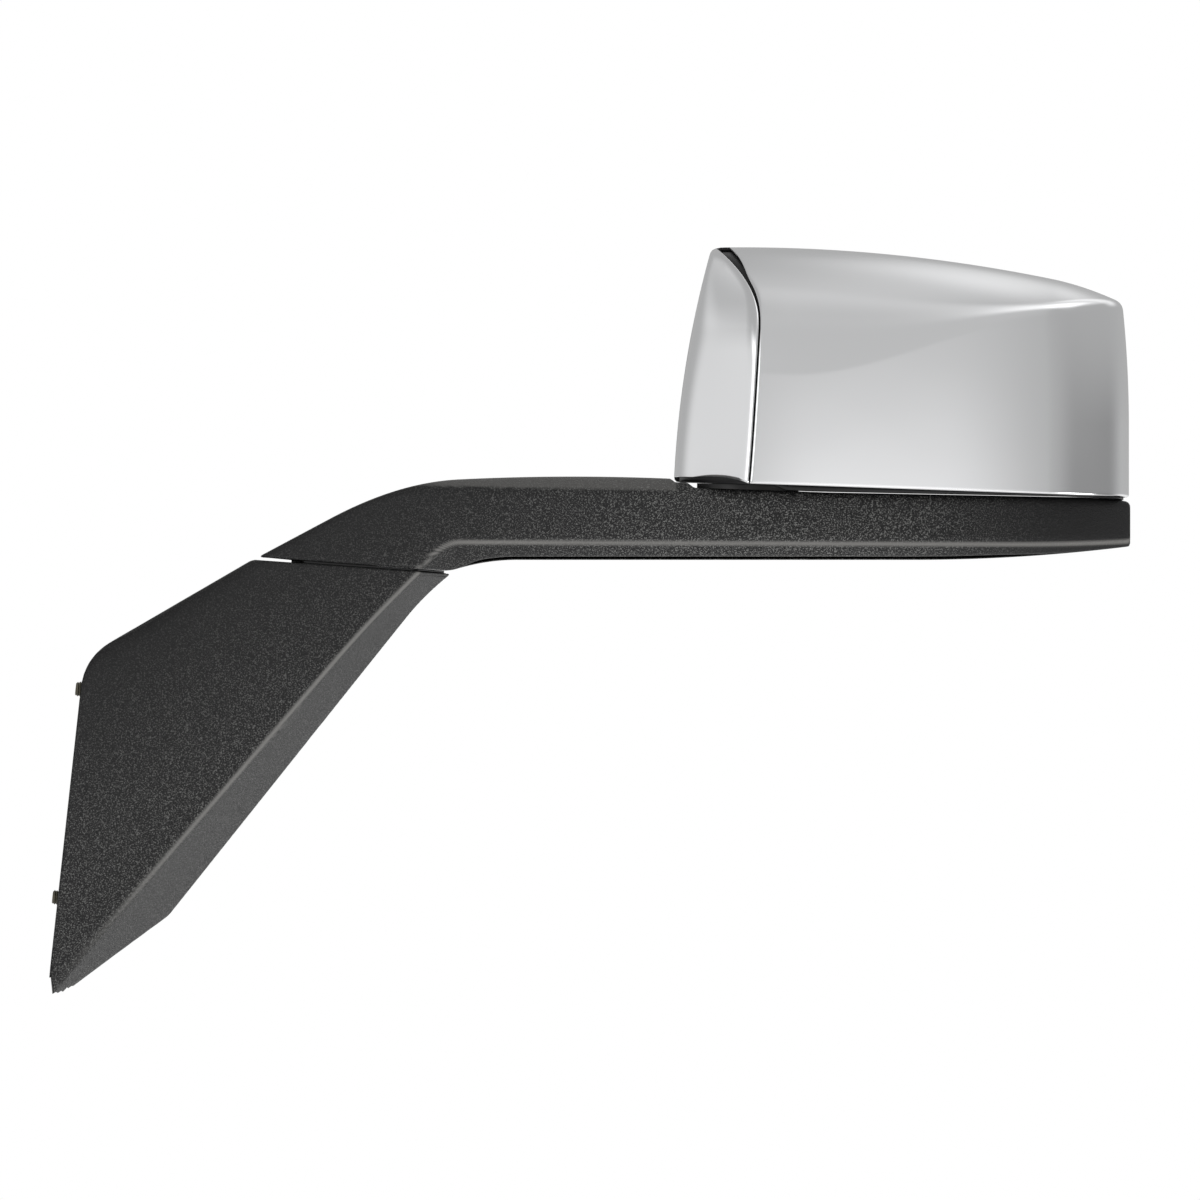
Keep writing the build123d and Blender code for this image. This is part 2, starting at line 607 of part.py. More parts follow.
def crease_region(shift, wedge, left):
    """The region on one side of the end cap's edge, in front view. wedge opens the gap at the top."""
    c = [(x + shift, z) for x, z in CREASE]
    top_x = c[3][0] + wedge
    edges = [
        Line(c[0], c[1]),
        ThreePointArc(c[1], (362.0 + shift, 222), c[2]),
        ThreePointArc(c[2], (358.0 + shift + wedge * 0.55, 286), (top_x, 303.4)),
        Line((top_x, 303.4), (top_x, 330)),
    ]
    far = 280 if left else 620
    edges += [Line((top_x, 330), (far, 330)), Line((far, 330), (far, 150)), Line((far, 150), c[0])]
    return slab_xz(make_face(Curve(edges)), 90, -90)


def make_chrome_cover():
    shell = head_form(0.0) - head_form(CHROME_WALL, -5, HEAD_REAR + 5)
    shell = keep_behind(shell, (0, HEAD_PART - FIT_GAP, 0), (0, 1, 0))
    return (shell & crease_region(FIT_GAP, 6.0, False)).solids().sort_by(SortBy.VOLUME)[-1]


def make_chrome_end_cap():
    shell = head_form(0.0) - head_form(CHROME_WALL, -5, HEAD_REAR + 5)
    shell = keep_behind(shell, (0, HEAD_PART - FIT_GAP, 0), (0, 1, 0))
    return (shell & crease_region(-FIT_GAP, 0.0, True)).solids().sort_by(SortBy.VOLUME)[-1]


def make_head_housing():
    """The black bucket: under the chrome in front, flush with it behind, open at the rear."""
    rear = HEAD_REAR - BEZEL_T
    bucket = head_form(HOUSING_INSET)
    bucket = keep_behind(bucket, (0, HEAD_PART, 0), (0, 1, 0))
    band = keep_behind(head_form(0.0, 0.0, rear), (0, HEAD_PART, 0), (0, -1, 0))
    body = bucket + band - head_form(HOUSING_INSET + HOUSING_WALL, HOUSING_WALL, HEAD_REAR + 5)
    body -= rod(PAN_POINT, PAN_AXIS, -5, 12, SPIGOT_R + 0.4)
    for x, z in HOUSING_SCREWS:
        body += rod((x, 0, z), (0, 1, 0), -80, BRACKET_FRONT, 5.0) & head_form(HOUSING_INSET + 0.1)
        body -= rod((x, 0, z), (0, 1, 0), -12, BRACKET_FRONT + 1, 2.05)
    return body.solids().sort_by(SortBy.VOLUME)[-1]


def glass_outline(inset=0.0):
    """The bezel's opening in front view with rounded corners, moved in by inset for what lies behind it."""
    edges = [
        ThreePointArc((327.0, 183.0), (332.0, 232.0), (346.0, 292.5)),
        ThreePointArc((346.0, 292.5), (462.0, 285.0), (556.0, 263.0)),
        ThreePointArc((556.0, 263.0), (558.8, 222.0), (559.0, 175.5)),
        Line((559.0, 175.5), (327.0, 183.0)),
    ]
    face = make_face(Curve(edges))
    face = fillet(face.vertices(), 11.0)
    return offset(face, -inset, kind=Kind.ARC) if inset else face


def make_bezel_ring():
    """The trim ring that closes the housing's rear and frames the glass."""
    ring = keep_behind(head_form(0.0), (0, HEAD_REAR - BEZEL_T + FIT_GAP, 0), (0, -1, 0))
    ring += keep_behind(head_form(HOUSING_INSET + 2.8, 2.8), (0, HEAD_REAR - 12, 0), (0, -1, 0))
    return (ring - slab_xz(glass_outline(), 80, 0)).solids().sort_by(SortBy.VOLUME)[-1]


def make_head_bracket():
    """Cast frame in the head: a plate, a clamp boss on the post and a boss for the ball stud."""
    plate_points = [(368, 197), (540, 197), (540, 256), (505, 268), (368, 276)]
    plate = slab_xz(outline_xz(plate_points, 8.0), BRACKET_REAR, BRACKET_FRONT)
    holes = [(408, 252, 34, 22), (492, 246, 34, 18), (402, 215, 30, 18), (500, 212, 34, 14)]
    for x, z, w, h in holes:
        plate -= slab_xz(Pos(x, z) * fillet(Rectangle(w, h).vertices(), 4), 20, -20)
    boss = rod(PAN_POINT, PAN_AXIS, 5.0, 28.0, 13.0)
    gusset_points = [(362, 182), (385, 190), (400, 206), (400, 240), (362, 199)]
    gusset = slab_xz(make_face(Polyline(*gusset_points, close=True)), BRACKET_REAR, -BRACKET_REAR)
    ball_boss = rod((BALL_CENTRE.X, 0, BALL_CENTRE.Z), (0, 1, 0), -2, BRACKET_REAR, 12.0)
    body = plate + boss + gusset + ball_boss
    body -= rod((BALL_CENTRE.X, 0, BALL_CENTRE.Z), (0, 1, 0), -6, 12, 4.0)
    body -= rod(PAN_POINT, PAN_AXIS, 0, 28.1, HEAD_BUSH_R)
    body -= rod(PAN_POINT, PAN_AXIS, 28.1, 80, 14.0)
    for x, z in HOUSING_SCREWS:
        body -= rod((x, 0, z), (0, 1, 0), 0, 20, 2.6)
    return body.solids().sort_by(SortBy.VOLUME)[-1]


def make_housing_screws():
    screws = [pan_screw((x, BRACKET_REAR + 0.05, z), (0, 1, 0), 4.5, 2.6, 2.0, 14) for x, z in HOUSING_SCREWS]
    return Compound(children=[s.solids()[0] for s in screws])


# ---------------------------------------------------------------- glass on its ball
def make_ball_stud():
    c = BALL_CENTRE
    stud = Pos(c) * Sphere(BALL_R)
    stud += rod(c, (0, 1, 0), BRACKET_REAR + 0.05 - c.Y, -6, 4.6)
    stud += rod(c, (0, 1, 0), -9 - c.Y, BRACKET_REAR + 1 - c.Y, 3.95)
    return stud


def make_stud_nut():
    return hex_nut((BALL_CENTRE.X, 0, BALL_CENTRE.Z), (0, 1, 0), -7.5, -2.05, 13.0, 4.0)


def make_ball_liner():
    liner = Pos(BALL_CENTRE) * (Sphere(SOCKET_R - 0.1) - Sphere(LINER_R))
    return keep_behind(liner, BALL_CENTRE + Vector(0, MOUTH, 0), (0, -1, 0)).solids()[0]


def glass_shell(y_apex, thickness, face):
    """A slice of the glass's sphere with the outline given. Its apex lies at y_apex, above the ball."""
    centre = Vector(BALL_CENTRE.X, y_apex - GLASS_R, BALL_CENTRE.Z)
    block = slab_xz(face, 60, -10)
    ball = Pos(centre) * Sphere(GLASS_R)
    inner = Pos(centre) * Sphere(GLASS_R - thickness)
    return (block & ball) - inner


def make_mirror_glass():
    return glass_shell(GLASS_APEX_Y, GLASS_T, glass_outline(3.4))


def make_foam_pad():
    return glass_shell(GLASS_APEX_Y - GLASS_T - 0.1, FOAM_T, glass_outline(9.0))


def make_glass_carrier():
    """Moulded holder: a curved plate, a socket for the ball and four stiffening ribs."""
    top = GLASS_APEX_Y - GLASS_T - FOAM_T - 0.2
    plate = glass_shell(top, CARRIER_T, glass_outline(4.4))
    c = BALL_CENTRE
    centre = Vector(c.X, top - GLASS_R, c.Z)
    socket = rod(c, (0, 1, 0), MOUTH, 18, SOCKET_WALL_R) & (Pos(centre) * Sphere(GLASS_R - 1.0))
    ribs = Part()
    for angle in (20, 160, 200, 340):
        ribs += Pos(c) * Rot(0, angle, 0) * Pos(46, 12, 0) * Box(64, 8, 2.4)
    ribs = (ribs & (Pos(centre) * Sphere(GLASS_R - 1.0))) - rod(c, (0, 1, 0), -20, 30, SOCKET_WALL_R - 0.5)
    return (plate + socket + ribs) - Pos(c) * Sphere(SOCKET_R)


def make_socket_ring():
    return tube(BALL_CENTRE, (0, 1, 0), MOUTH + 1.0, MOUTH + 4.0, 17.2, SOCKET_WALL_R + 0.05)


# ---------------------------------------------------------------- all nodes
NODES = {
    "base_cover": make_base_cover,
    "base_bracket": make_base_bracket,
    "base_gasket": make_base_gasket,
    "mounting_studs": make_mounting_studs,
    "base_cover_screws": make_base_cover_screws,
    "fold_bush": make_fold_bush,
    "wear_disc": make_wear_disc,
    "fold_post": make_fold_post,
    "disc_springs": make_disc_springs,
    "thrust_washer": make_thrust_washer,
    "fold_nut": make_fold_nut,
    "stop_pin": make_stop_pin,
    "arm_cover_front": make_arm_cover_front,
    "arm_cover_rear": make_arm_cover_rear,
    "arm_beam": make_arm_beam,
    "arm_cover_screws": make_arm_cover_screws,
    "head_post": make_head_post,
    "pivot_pad": make_pivot_pad,
    "head_bush": make_head_bush,
    "head_spring": make_head_spring,
    "spring_seat": make_spring_seat,
    "spring_cap": make_spring_cap,
    "head_nut": make_head_nut,
    "chrome_cover": make_chrome_cover,
    "chrome_end_cap": make_chrome_end_cap,
    "head_housing": make_head_housing,
    "bezel_ring": make_bezel_ring,
    "head_bracket": make_head_bracket,
    "housing_screws": make_housing_screws,
    "ball_stud": make_ball_stud,
    "stud_nut": make_stud_nut,
    "ball_liner": make_ball_liner,
    "mirror_glass": make_mirror_glass,
    "foam_pad": make_foam_pad,
    "glass_carrier": make_glass_carrier,
    "socket_ring": make_socket_ring,
}

if __name__ == "__main__":
    for name, make in NODES.items():
        export(name, make())
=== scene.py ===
"""A hood-mounted side mirror: a wedge base, a bent arm and a chromed head with a convex glass."""

import json
import math

import bpy
import numpy as np
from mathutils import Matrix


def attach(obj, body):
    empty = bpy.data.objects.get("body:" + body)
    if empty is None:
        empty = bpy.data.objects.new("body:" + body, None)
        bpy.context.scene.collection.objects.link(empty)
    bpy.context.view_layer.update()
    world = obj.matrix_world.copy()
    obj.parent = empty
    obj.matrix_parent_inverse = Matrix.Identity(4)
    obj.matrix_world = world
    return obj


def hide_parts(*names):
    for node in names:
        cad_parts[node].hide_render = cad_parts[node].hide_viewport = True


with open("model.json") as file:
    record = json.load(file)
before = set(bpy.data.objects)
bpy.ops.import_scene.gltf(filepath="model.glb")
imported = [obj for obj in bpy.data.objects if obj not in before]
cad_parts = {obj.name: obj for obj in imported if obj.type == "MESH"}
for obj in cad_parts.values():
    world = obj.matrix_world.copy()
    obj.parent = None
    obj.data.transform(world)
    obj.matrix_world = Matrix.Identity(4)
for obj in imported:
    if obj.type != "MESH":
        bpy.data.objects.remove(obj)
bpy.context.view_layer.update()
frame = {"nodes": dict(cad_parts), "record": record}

# ---------------------------------------------------------------- sizes, in millimetres like the drawings
MM = 0.001
SEAT_LEAN = 6.4
FOLD_LEAN = 4.1
PAN_LEAN = 2.0
SPLIT_LEFT = (88.2, 131.7)
SPLIT_GAP = 1.6
FOLD_X = 132.0
PAN_X, PAN_Y = 358.0, -6.0
SPIGOT_R = 20.0
FLOOR_LEFT = (317.4, 173.9)
CHROME_REAR = 19.7
BEARING_HOLE = 24.5
PART_Y = -6.0
PART_GAP = 0.15
RIM_X, RIM_SLOPE = -14.69, 0.1122
ARM_END = 567.9
HEAD_MIDDLE_X, HEAD_MIDDLE_Z = 443.0, 232.0
BEZEL_Y = 41.0
BASE_WALL, ARM_WALL, CHROME_WALL = 2.0, 1.0, 1.8
BASE_SCREWS = [(96, 92), (62, 40)]
ARM_SCREWS = [(180, 151), (250, 154), (322, 150), (440, 149), (530, 149)]
THREAD_PITCH, THREAD_DEPTH = 1.25, 0.62
STUD_PLACES = [(58.5, -25.0), (58.5, 33.0), (-56.5, -20.0)]
FOLD_AXIS = np.array([math.sin(math.radians(FOLD_LEAN)), 0, math.cos(math.radians(FOLD_LEAN))])
FOLD_ALONG = np.array([FOLD_AXIS[2], 0, -FOLD_AXIS[0]])


def tangent(degrees):
    """Tangent of an angle in degrees."""
    return math.tan(math.radians(degrees))


def split_z(x):
    """Height of the middle of the gap between base and arm."""
    return SPLIT_LEFT[1] - (x - SPLIT_LEFT[0]) * tangent(FOLD_LEAN)


def floor_z(x):
    """Height of the head's underside."""
    return FLOOR_LEFT[1] - (x - FLOOR_LEFT[0]) * tangent(PAN_LEAN)


# ---------------------------------------------------------------- fields and rays
def smooth_max(a, b, k):
    """The larger of two fields, rounded over where they come within k of each other."""
    h = np.clip(1 - np.abs(a - b) / k, 0, 1)
    return np.maximum(a, b) + h * h * k / 4


def smooth_min(a, b, k):
    """The smaller of two fields, filleted where they come within k of each other."""
    return -smooth_max(-a, -b, k)


def ease(t):
    """0 before 0, 1 after 1 and a smooth climb between."""
    t = np.clip(t, 0, 1)
    return t * t * (3 - 2 * t)


def cast(field, origin, direction, reach=400.0):
    """Where rays from inside a form leave it: the field is negative inside, and its change of sign along each
    ray is closed in on by halving."""
    near = np.zeros(origin.shape[:-1])
    far = np.full(origin.shape[:-1], reach)
    for _ in range(30):
        middle = (near + far) / 2
        point = origin + direction * middle[..., None]
        inside = field(point[..., 0], point[..., 1], point[..., 2]) < 0
        near = np.where(inside, middle, near)
        far = np.where(inside, far, middle)
    return origin + direction * near[..., None]


def unit(v):
    """The vectors at length 1."""
    return v / np.linalg.norm(v, axis=-1, keepdims=True)


def graded(count, fine_count, fine_share):
    """Numbers from 0 to 1, with fine_count even steps inside the first fine_share of the way."""
    fine = np.linspace(0, fine_share, fine_count + 1)[:-1]
    return np.concatenate([fine, np.linspace(fine_share, 1, count - fine_count)])


def weld(points, faces):
    """Joins points that share a place and drops or shortens the quads this closes up."""
    keys = np.round(points.reshape(-1, 3) / 0.002).astype(np.int64)
    _, first, index = np.unique(keys, axis=0, return_index=True, return_inverse=True)
    faces = index.reshape(-1)[faces]
    same = faces == np.roll(faces, -1, axis=1)
    quads = faces[same.sum(1) == 0]
    threes = faces[same.sum(1) == 1]
    kept = ~same[same.sum(1) == 1]
    triangles = threes[kept].reshape(-1, 3)
    return points.reshape(-1, 3)[first], quads.tolist() + triangles.tolist()


def grid_faces(rows, columns, closed=False, start=0):
    """Quads of a grid of points stored row by row, its last column joined to its first if closed."""
    i = np.arange(rows - 1)[:, None] * columns
    j = np.arange(columns if closed else columns - 1)[None, :]
    k = (j + 1) % columns
    quads = np.stack([i + j, i + k, i + columns + k, i + columns + j], axis=-1)
    return quads.reshape(-1, 4) + start


def ridge_highlight_mask(pair, width, also=None):
    """Gives a rule that is 1 along the ridge where two fields meet on a form's surface and 0 away from it. It
    places a painted highlight along the ridge.
    """
    def rule(points):
        x, y, z = points[:, 0], points[:, 1], points[:, 2]
        a, b = pair(x, y, z)
        mark = ease(1.15 - np.abs(a - b) / width) * (np.maximum(a, b) > -2.5)
        return np.maximum(mark, also(x, y, z)) if also else mark
    return rule


def add_piece(name, points, faces, body, slot, replaces=(), wall=0.0, flip=False, welded=False, ridge=None):
    """Makes a smooth mesh piece from points in millimetres, gives it a wall and puts it on its body."""
    points = points.reshape(-1, 3)
    if flip:
        faces = faces[:, ::-1]
    if welded:
        points, faces = weld(points, faces)
    else:
        faces = faces.tolist()
    mesh = bpy.data.meshes.new(name)
    mesh.from_pydata((points * MM).tolist(), [], faces)
    mesh.polygons.foreach_set("use_smooth", np.ones(len(mesh.polygons), bool))
    # ridge: a rule stored as the mesh's ridge attribute, which the plastic reads to paint a highlight along
    # ridges.
    if ridge:
        marks = mesh.attributes.new("ridge", "FLOAT", "POINT")
        marks.data.foreach_set("value", ridge(points).astype(np.float32))
    mesh.validate()
    mesh.update()
    piece = bpy.data.objects.new(name, mesh)
    bpy.context.scene.collection.objects.link(piece)
    piece.data.materials.append(MATERIALS[slot])
    if wall:
        solid = piece.modifiers.new("Wall", "SOLIDIFY")
        solid.thickness = wall * MM
        solid.offset = -1
        solid.use_even_offset = False
    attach(piece, body)
    for node_name in replaces:
        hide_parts(node_name)
    return piece


# ---------------------------------------------------------------- shader groups and materials
def node(tree, kind, place, **settings):
    """Adds a node to a tree at a place, with its settings."""
    made = tree.nodes.new(kind)
    made.location = place
    for key, value in settings.items():
        setattr(made, key, value)
    return made


def shader_group(name, inputs, outputs):
    """An empty node group with named float or colour sockets."""
    group = bpy.data.node_groups.new(name, "ShaderNodeTree")
    for label, kind, value in inputs:
        socket = group.interface.new_socket(label, in_out="INPUT", socket_type=kind)
        socket.default_value = value
    for label, kind in outputs:
        group.interface.new_socket(label, in_out="OUTPUT", socket_type=kind)
    return group, node(group, "NodeGroupInput", (-900, 0)), node(group, "NodeGroupOutput", (700, 0))


def grain_group():
    """Spark-eroded grain: rounded bumps at two sizes. Painted glints, from 0 to 1, lift the flecks' tops
    towards the Light colour: a painted sparkle standing in for lamp glints on the grain.
    Painted ridge highlight mixes the colour towards a pale grey along an edge: a painted highlight standing in
    for light caught by the rounded ridge."""
    group, start, end = shader_group(
        "SparkGrain",
        [("Grain per metre", "NodeSocketFloat", 1100.0), ("Dark", "NodeSocketColor", (0.02, 0.02, 0.02, 1)),
         ("Light", "NodeSocketColor", (0.06, 0.06, 0.06, 1)), ("Painted glints", "NodeSocketFloat", 0.5),
         ("Painted ridge highlight", "NodeSocketFloat", 0.0)],
        [("Color", "NodeSocketColor"), ("Height", "NodeSocketFloat"), ("Roughness", "NodeSocketFloat")])
    link = group.links.new
    place = node(group, "ShaderNodeTexCoord", (-1100, -200))
    coarse = node(group, "ShaderNodeTexNoise", (-500, 100))
    coarse.inputs["Detail"].default_value = 1.5
    coarse.inputs["Roughness"].default_value = 0.7
    fine = node(group, "ShaderNodeTexVoronoi", (-500, -200), feature="SMOOTH_F1")
    double = node(group, "ShaderNodeMath", (-700, -250), operation="MULTIPLY")
    double.inputs[1].default_value = 1.6
    cloud = node(group, "ShaderNodeTexNoise", (-500, 400))
    cloud.inputs["Scale"].default_value = 9.0
    cloud.inputs["Detail"].default_value = 3.0
    for texture in (coarse, fine, cloud):
        link(place.outputs["Object"], texture.inputs["Vector"])
    link(start.outputs["Grain per metre"], coarse.inputs["Scale"])
    link(start.outputs["Grain per metre"], double.inputs[0])
    link(double.outputs[0], fine.inputs["Scale"])
    height = node(group, "ShaderNodeMath", (-200, -50), operation="MULTIPLY_ADD")
    height.inputs[1].default_value = -0.45
    link(fine.outputs["Distance"], height.inputs[0])
    link(coarse.outputs["Fac"], height.inputs[2])
    fleck = node(group, "ShaderNodeMapRange", (0, 100), interpolation_type="SMOOTHSTEP")
    fleck.inputs["From Min"].default_value = 0.29
    fleck.inputs["From Max"].default_value = 0.52
    link(height.outputs[0], fleck.inputs["Value"])
    # Painted glints: this share mixes the flecks' tops towards the Light colour, a painted sparkle in place of
    # lamp glints.
    glint_share = node(group, "ShaderNodeMath", (100, 150), operation="MULTIPLY")
    link(fleck.outputs["Result"], glint_share.inputs[0])
    link(start.outputs["Painted glints"], glint_share.inputs[1])
    tone = node(group, "ShaderNodeMapRange", (0, 350))
    tone.inputs["To Min"].default_value = 0.88
    tone.inputs["To Max"].default_value = 1.12
    link(cloud.outputs["Fac"], tone.inputs["Value"])
    mix = node(group, "ShaderNodeMix", (250, 200), data_type="RGBA")
    link(glint_share.outputs[0], mix.inputs["Factor"])
    link(start.outputs["Dark"], mix.inputs[6])
    link(start.outputs["Light"], mix.inputs[7])
    shade = node(group, "ShaderNodeMix", (450, 250), data_type="RGBA", blend_type="MULTIPLY")
    shade.inputs["Factor"].default_value = 1.0
    link(mix.outputs[2], shade.inputs[6])
    link(tone.outputs["Result"], shade.inputs[7])
    # Painted ridge highlight: along ridges the colour is mixed towards a pale warm grey, standing in for light
    # caught by the rounding.
    edge = node(group, "ShaderNodeMix", (650, 250), data_type="RGBA")
    edge.inputs[7].default_value = (0.19, 0.186, 0.178, 1)
    link(start.outputs["Painted ridge highlight"], edge.inputs["Factor"])
    link(shade.outputs[2], edge.inputs[6])
    rough = node(group, "ShaderNodeMapRange", (450, -150))
    rough.inputs["To Min"].default_value = 0.55
    rough.inputs["To Max"].default_value = 0.36
    link(glint_share.outputs[0], rough.inputs["Value"])
    link(edge.outputs[2], end.inputs["Color"])
    link(height.outputs[0], end.inputs["Height"])
    link(rough.outputs["Result"], end.inputs["Roughness"])
    return group


def new_material(name):
    """A node material with its tree and its main shader."""
    material = bpy.data.materials.new(name)
    material.use_nodes = True
    tree = material.node_tree
    shader = tree.nodes["Principled BSDF"]
    return material, tree, shader


def grained_plastic(name, group, grain, dark, light, bump, roughness=None, painted_glints=0.5, painted_glint_zones=()):
    """Moulded plastic with an eroded grain and painted glints on its flecks. The painted glints rise along
    each zone, given as (start, end, strength)
    with points in metres: none is added at the start and the whole strength at the end. These zones paint
    patches where the grain sparkles more or less, as the lamps would make it."""
    material, tree, shader = new_material(name)
    grain_node = node(tree, "ShaderNodeGroup", (-500, 100))
    grain_node.node_tree = group
    grain_node.inputs["Grain per metre"].default_value = grain
    grain_node.inputs["Dark"].default_value = (*dark, 1)
    grain_node.inputs["Light"].default_value = (*light, 1)
    grain_node.inputs["Painted glints"].default_value = painted_glints
    total = None
    for i, (start, end, strength) in enumerate(painted_glint_zones):
        place = node(tree, "ShaderNodeTexCoord", (-1300, -250 * i))
        run = np.array(end, float) - np.array(start, float)
        along = node(tree, "ShaderNodeVectorMath", (-1100, -250 * i), operation="DOT_PRODUCT")
        along.inputs[1].default_value = tuple(run / (run @ run))
        tree.links.new(place.outputs["Object"], along.inputs[0])
        soft = node(tree, "ShaderNodeMapRange", (-900, -250 * i), interpolation_type="SMOOTHSTEP")
        first = np.array(start, float) @ run / (run @ run)
        soft.inputs["From Min"].default_value = first
        soft.inputs["From Max"].default_value = first + 1
        soft.inputs["To Max"].default_value = strength
        tree.links.new(along.outputs["Value"], soft.inputs["Value"])
        join = node(tree, "ShaderNodeMath", (-700, -250 * i), operation="ADD")
        join.inputs[1].default_value = painted_glints
        if total is not None:
            tree.links.new(total, join.inputs[1])
        tree.links.new(soft.outputs["Result"], join.inputs[0])
        total = join.outputs[0]
    if total is not None:
        tree.links.new(total, grain_node.inputs["Painted glints"])
    # The mesh's ridge attribute drives the painted ridge highlight.
    mark = node(tree, "ShaderNodeAttribute", (-1100, 300), attribute_name="ridge")
    tree.links.new(mark.outputs["Fac"], grain_node.inputs["Painted ridge highlight"])
    shader.inputs["Specular IOR Level"].default_value = 0.34
    bumps = node(tree, "ShaderNodeBump", (-250, -150))
    bumps.inputs["Distance"].default_value = bump
    tree.links.new(grain_node.outputs["Color"], shader.inputs["Base Color"])
    tree.links.new(grain_node.outputs["Height"], bumps.inputs["Height"])
    tree.links.new(bumps.outputs["Normal"], shader.inputs["Normal"])
    if roughness is None:
        tree.links.new(grain_node.outputs["Roughness"], shader.inputs["Roughness"])
    else:
        shader.inputs["Roughness"].default_value = roughness
    return material


def metal(name, colour, roughness, scale=900.0, bump=0.00002, metallic=1.0, spread=0.08):
    """Metal with a faint uneven surface and roughness."""
    material, tree, shader = new_material(name)
    place = node(tree, "ShaderNodeTexCoord", (-900, 0))
    noise = node(tree, "ShaderNodeTexNoise", (-700, 0))
    noise.inputs["Scale"].default_value = scale
    noise.inputs["Detail"].default_value = 4.0
    rough = node(tree, "ShaderNodeMapRange", (-450, 100))
    rough.inputs["To Min"].default_value = max(roughness - spread, 0.02)
    rough.inputs["To Max"].default_value = roughness + spread
    bumps = node(tree, "ShaderNodeBump", (-250, -150))
    bumps.inputs["Distance"].default_value = bump
    tree.links.new(place.outputs["Object"], noise.inputs["Vector"])
    tree.links.new(noise.outputs["Fac"], rough.inputs["Value"])
    tree.links.new(rough.outputs["Result"], shader.inputs["Roughness"])
    tree.links.new(noise.outputs["Fac"], bumps.inputs["Height"])
    tree.links.new(bumps.outputs["Normal"], shader.inputs["Normal"])
    shader.inputs["Base Color"].default_value = (*colour, 1)
    shader.inputs["Metallic"].default_value = metallic
    return material


def chrome_material():
    """Chrome on moulded plastic: a clear reflection, softened a little by the moulding's faint waves."""
    material, tree, shader = new_material("MirrorChrome")
    place = node(tree, "ShaderNodeTexCoord", (-900, 0))
    wave = node(tree, "ShaderNodeTexNoise", (-700, -150))
    wave.inputs["Scale"].default_value = 14.0
    wave.inputs["Detail"].default_value = 1.0
    bumps = node(tree, "ShaderNodeBump", (-250, -150))
    bumps.inputs["Distance"].default_value = 0.0004
    bumps.inputs["Strength"].default_value = 0.3
    tree.links.new(place.outputs["Object"], wave.inputs["Vector"])
    tree.links.new(wave.outputs["Fac"], bumps.inputs["Height"])
    tree.links.new(bumps.outputs["Normal"], shader.inputs["Normal"])
    shader.inputs["Base Color"].default_value = (0.92, 0.925, 0.935, 1)
    shader.inputs["Metallic"].default_value = 1.0
    shader.inputs["Roughness"].default_value = 0.17
    return material


GRAIN = grain_group()
MATERIALS = {
    # The black cover's pale Light colour and its zones paint glints on the grain: more towards the base's
    # ridge and along the arm's middle, less out under the head.
    "black_cover": grained_plastic(
        "GrainedBlack", GRAIN, 1200.0, (0.007, 0.007, 0.0073), (0.30, 0.30, 0.29), 0.0005, painted_glints=0.02,
        painted_glint_zones=[((0.06, 0, 0.15), (0.14, 0, 0.02), 0.42), ((0.14, 0, 0.1), (0.38, 0, 0.1), 0.22),
              ((0.42, 0, 0.1), (0.54, 0, 0.1), -0.65)]),
    "black_housing": grained_plastic(
        "SatinBlack", GRAIN, 2200.0, (0.010, 0.010, 0.0105), (0.022, 0.022, 0.023), 0.00004, 0.42),
    "nylon": grained_plastic("BlackNylon", GRAIN, 2600.0, (0.010, 0.010, 0.010), (0.018, 0.018, 0.018),
                             0.00002, 0.36),
    "rubber": grained_plastic("BlackRubber", GRAIN, 1800.0, (0.008, 0.008, 0.008), (0.020, 0.020, 0.020),
                              0.00006, 0.75),
    "foam": grained_plastic("GreyFoam", GRAIN, 1500.0, (0.03, 0.03, 0.03), (0.08, 0.08, 0.08), 0.0002, 0.9),
    "chrome": chrome_material(),
    "cast_alloy": metal("CastAlloy", (0.36, 0.36, 0.37), 0.5, 700.0, 0.00012),
    "steel": metal("ZincSteel", (0.55, 0.55, 0.56), 0.32, 1500.0, 0.00002),
    "plated_studs": metal("OliveZinc", (0.16, 0.15, 0.115), 0.42, 1800.0, 0.00003, metallic=0.8),
    "bronze": metal("SinteredBronze", (0.50, 0.33, 0.16), 0.45, 2500.0, 0.00003),
    "mirror_glass": metal("SilveredGlass", (0.83, 0.85, 0.86), 0.02, 30.0, 0.0, spread=0.005),
}


# ---------------------------------------------------------------- base
REAR_AT_ORIGIN, REAR_DRAFT = 54.0, (54.0 - 48.2) / 190 + 0.0905
FRONT_AT_ORIGIN, FRONT_DRAFT = -48.2, 0.0905


def plane_field(points, outward):
    """Signed distance from the plane through three points, positive on its outward side."""
    a, b, c = (np.array(p, float) for p in points)
    n = np.cross(b - a, c - a)
    n /= np.linalg.norm(n)
    n *= math.copysign(1.0, n @ np.array(outward, float))
    return lambda x, y, z: (x - a[0]) * n[0] + (y - a[1]) * n[1] + (z - a[2]) * n[2]


BELLY = plane_field([(38.7, 50.5, -65.2), (-40.5, -51.9, -124), (-18.7, 56, -35)], (0, 1, -1))


def wells(field, centres, face_y, radius, depth):
    """The field with round screw wells sunk into the rear face."""
    def sunk(x, y, z):
        value = field(x, y, z)
        for cx, cz in centres:
            hollow = smooth_min(radius - np.hypot(x - cx, z - cz), y - face_y(cx) + depth, 0.8)
            value = smooth_max(value, hollow, 1.0)
        return value
    return sunk


def base_rear(x):
    """The base's rear face, drafted towards the arm."""
    return REAR_AT_ORIGIN - REAR_DRAFT * x


def base_ridge_highlight(points):
    """The base's painted highlight along its ridge line, which fades towards the lower tip."""
    return ridge_highlight_mask(base_flanks, 2.6)(points) * ease((points[:, 2] + 105) / 75)


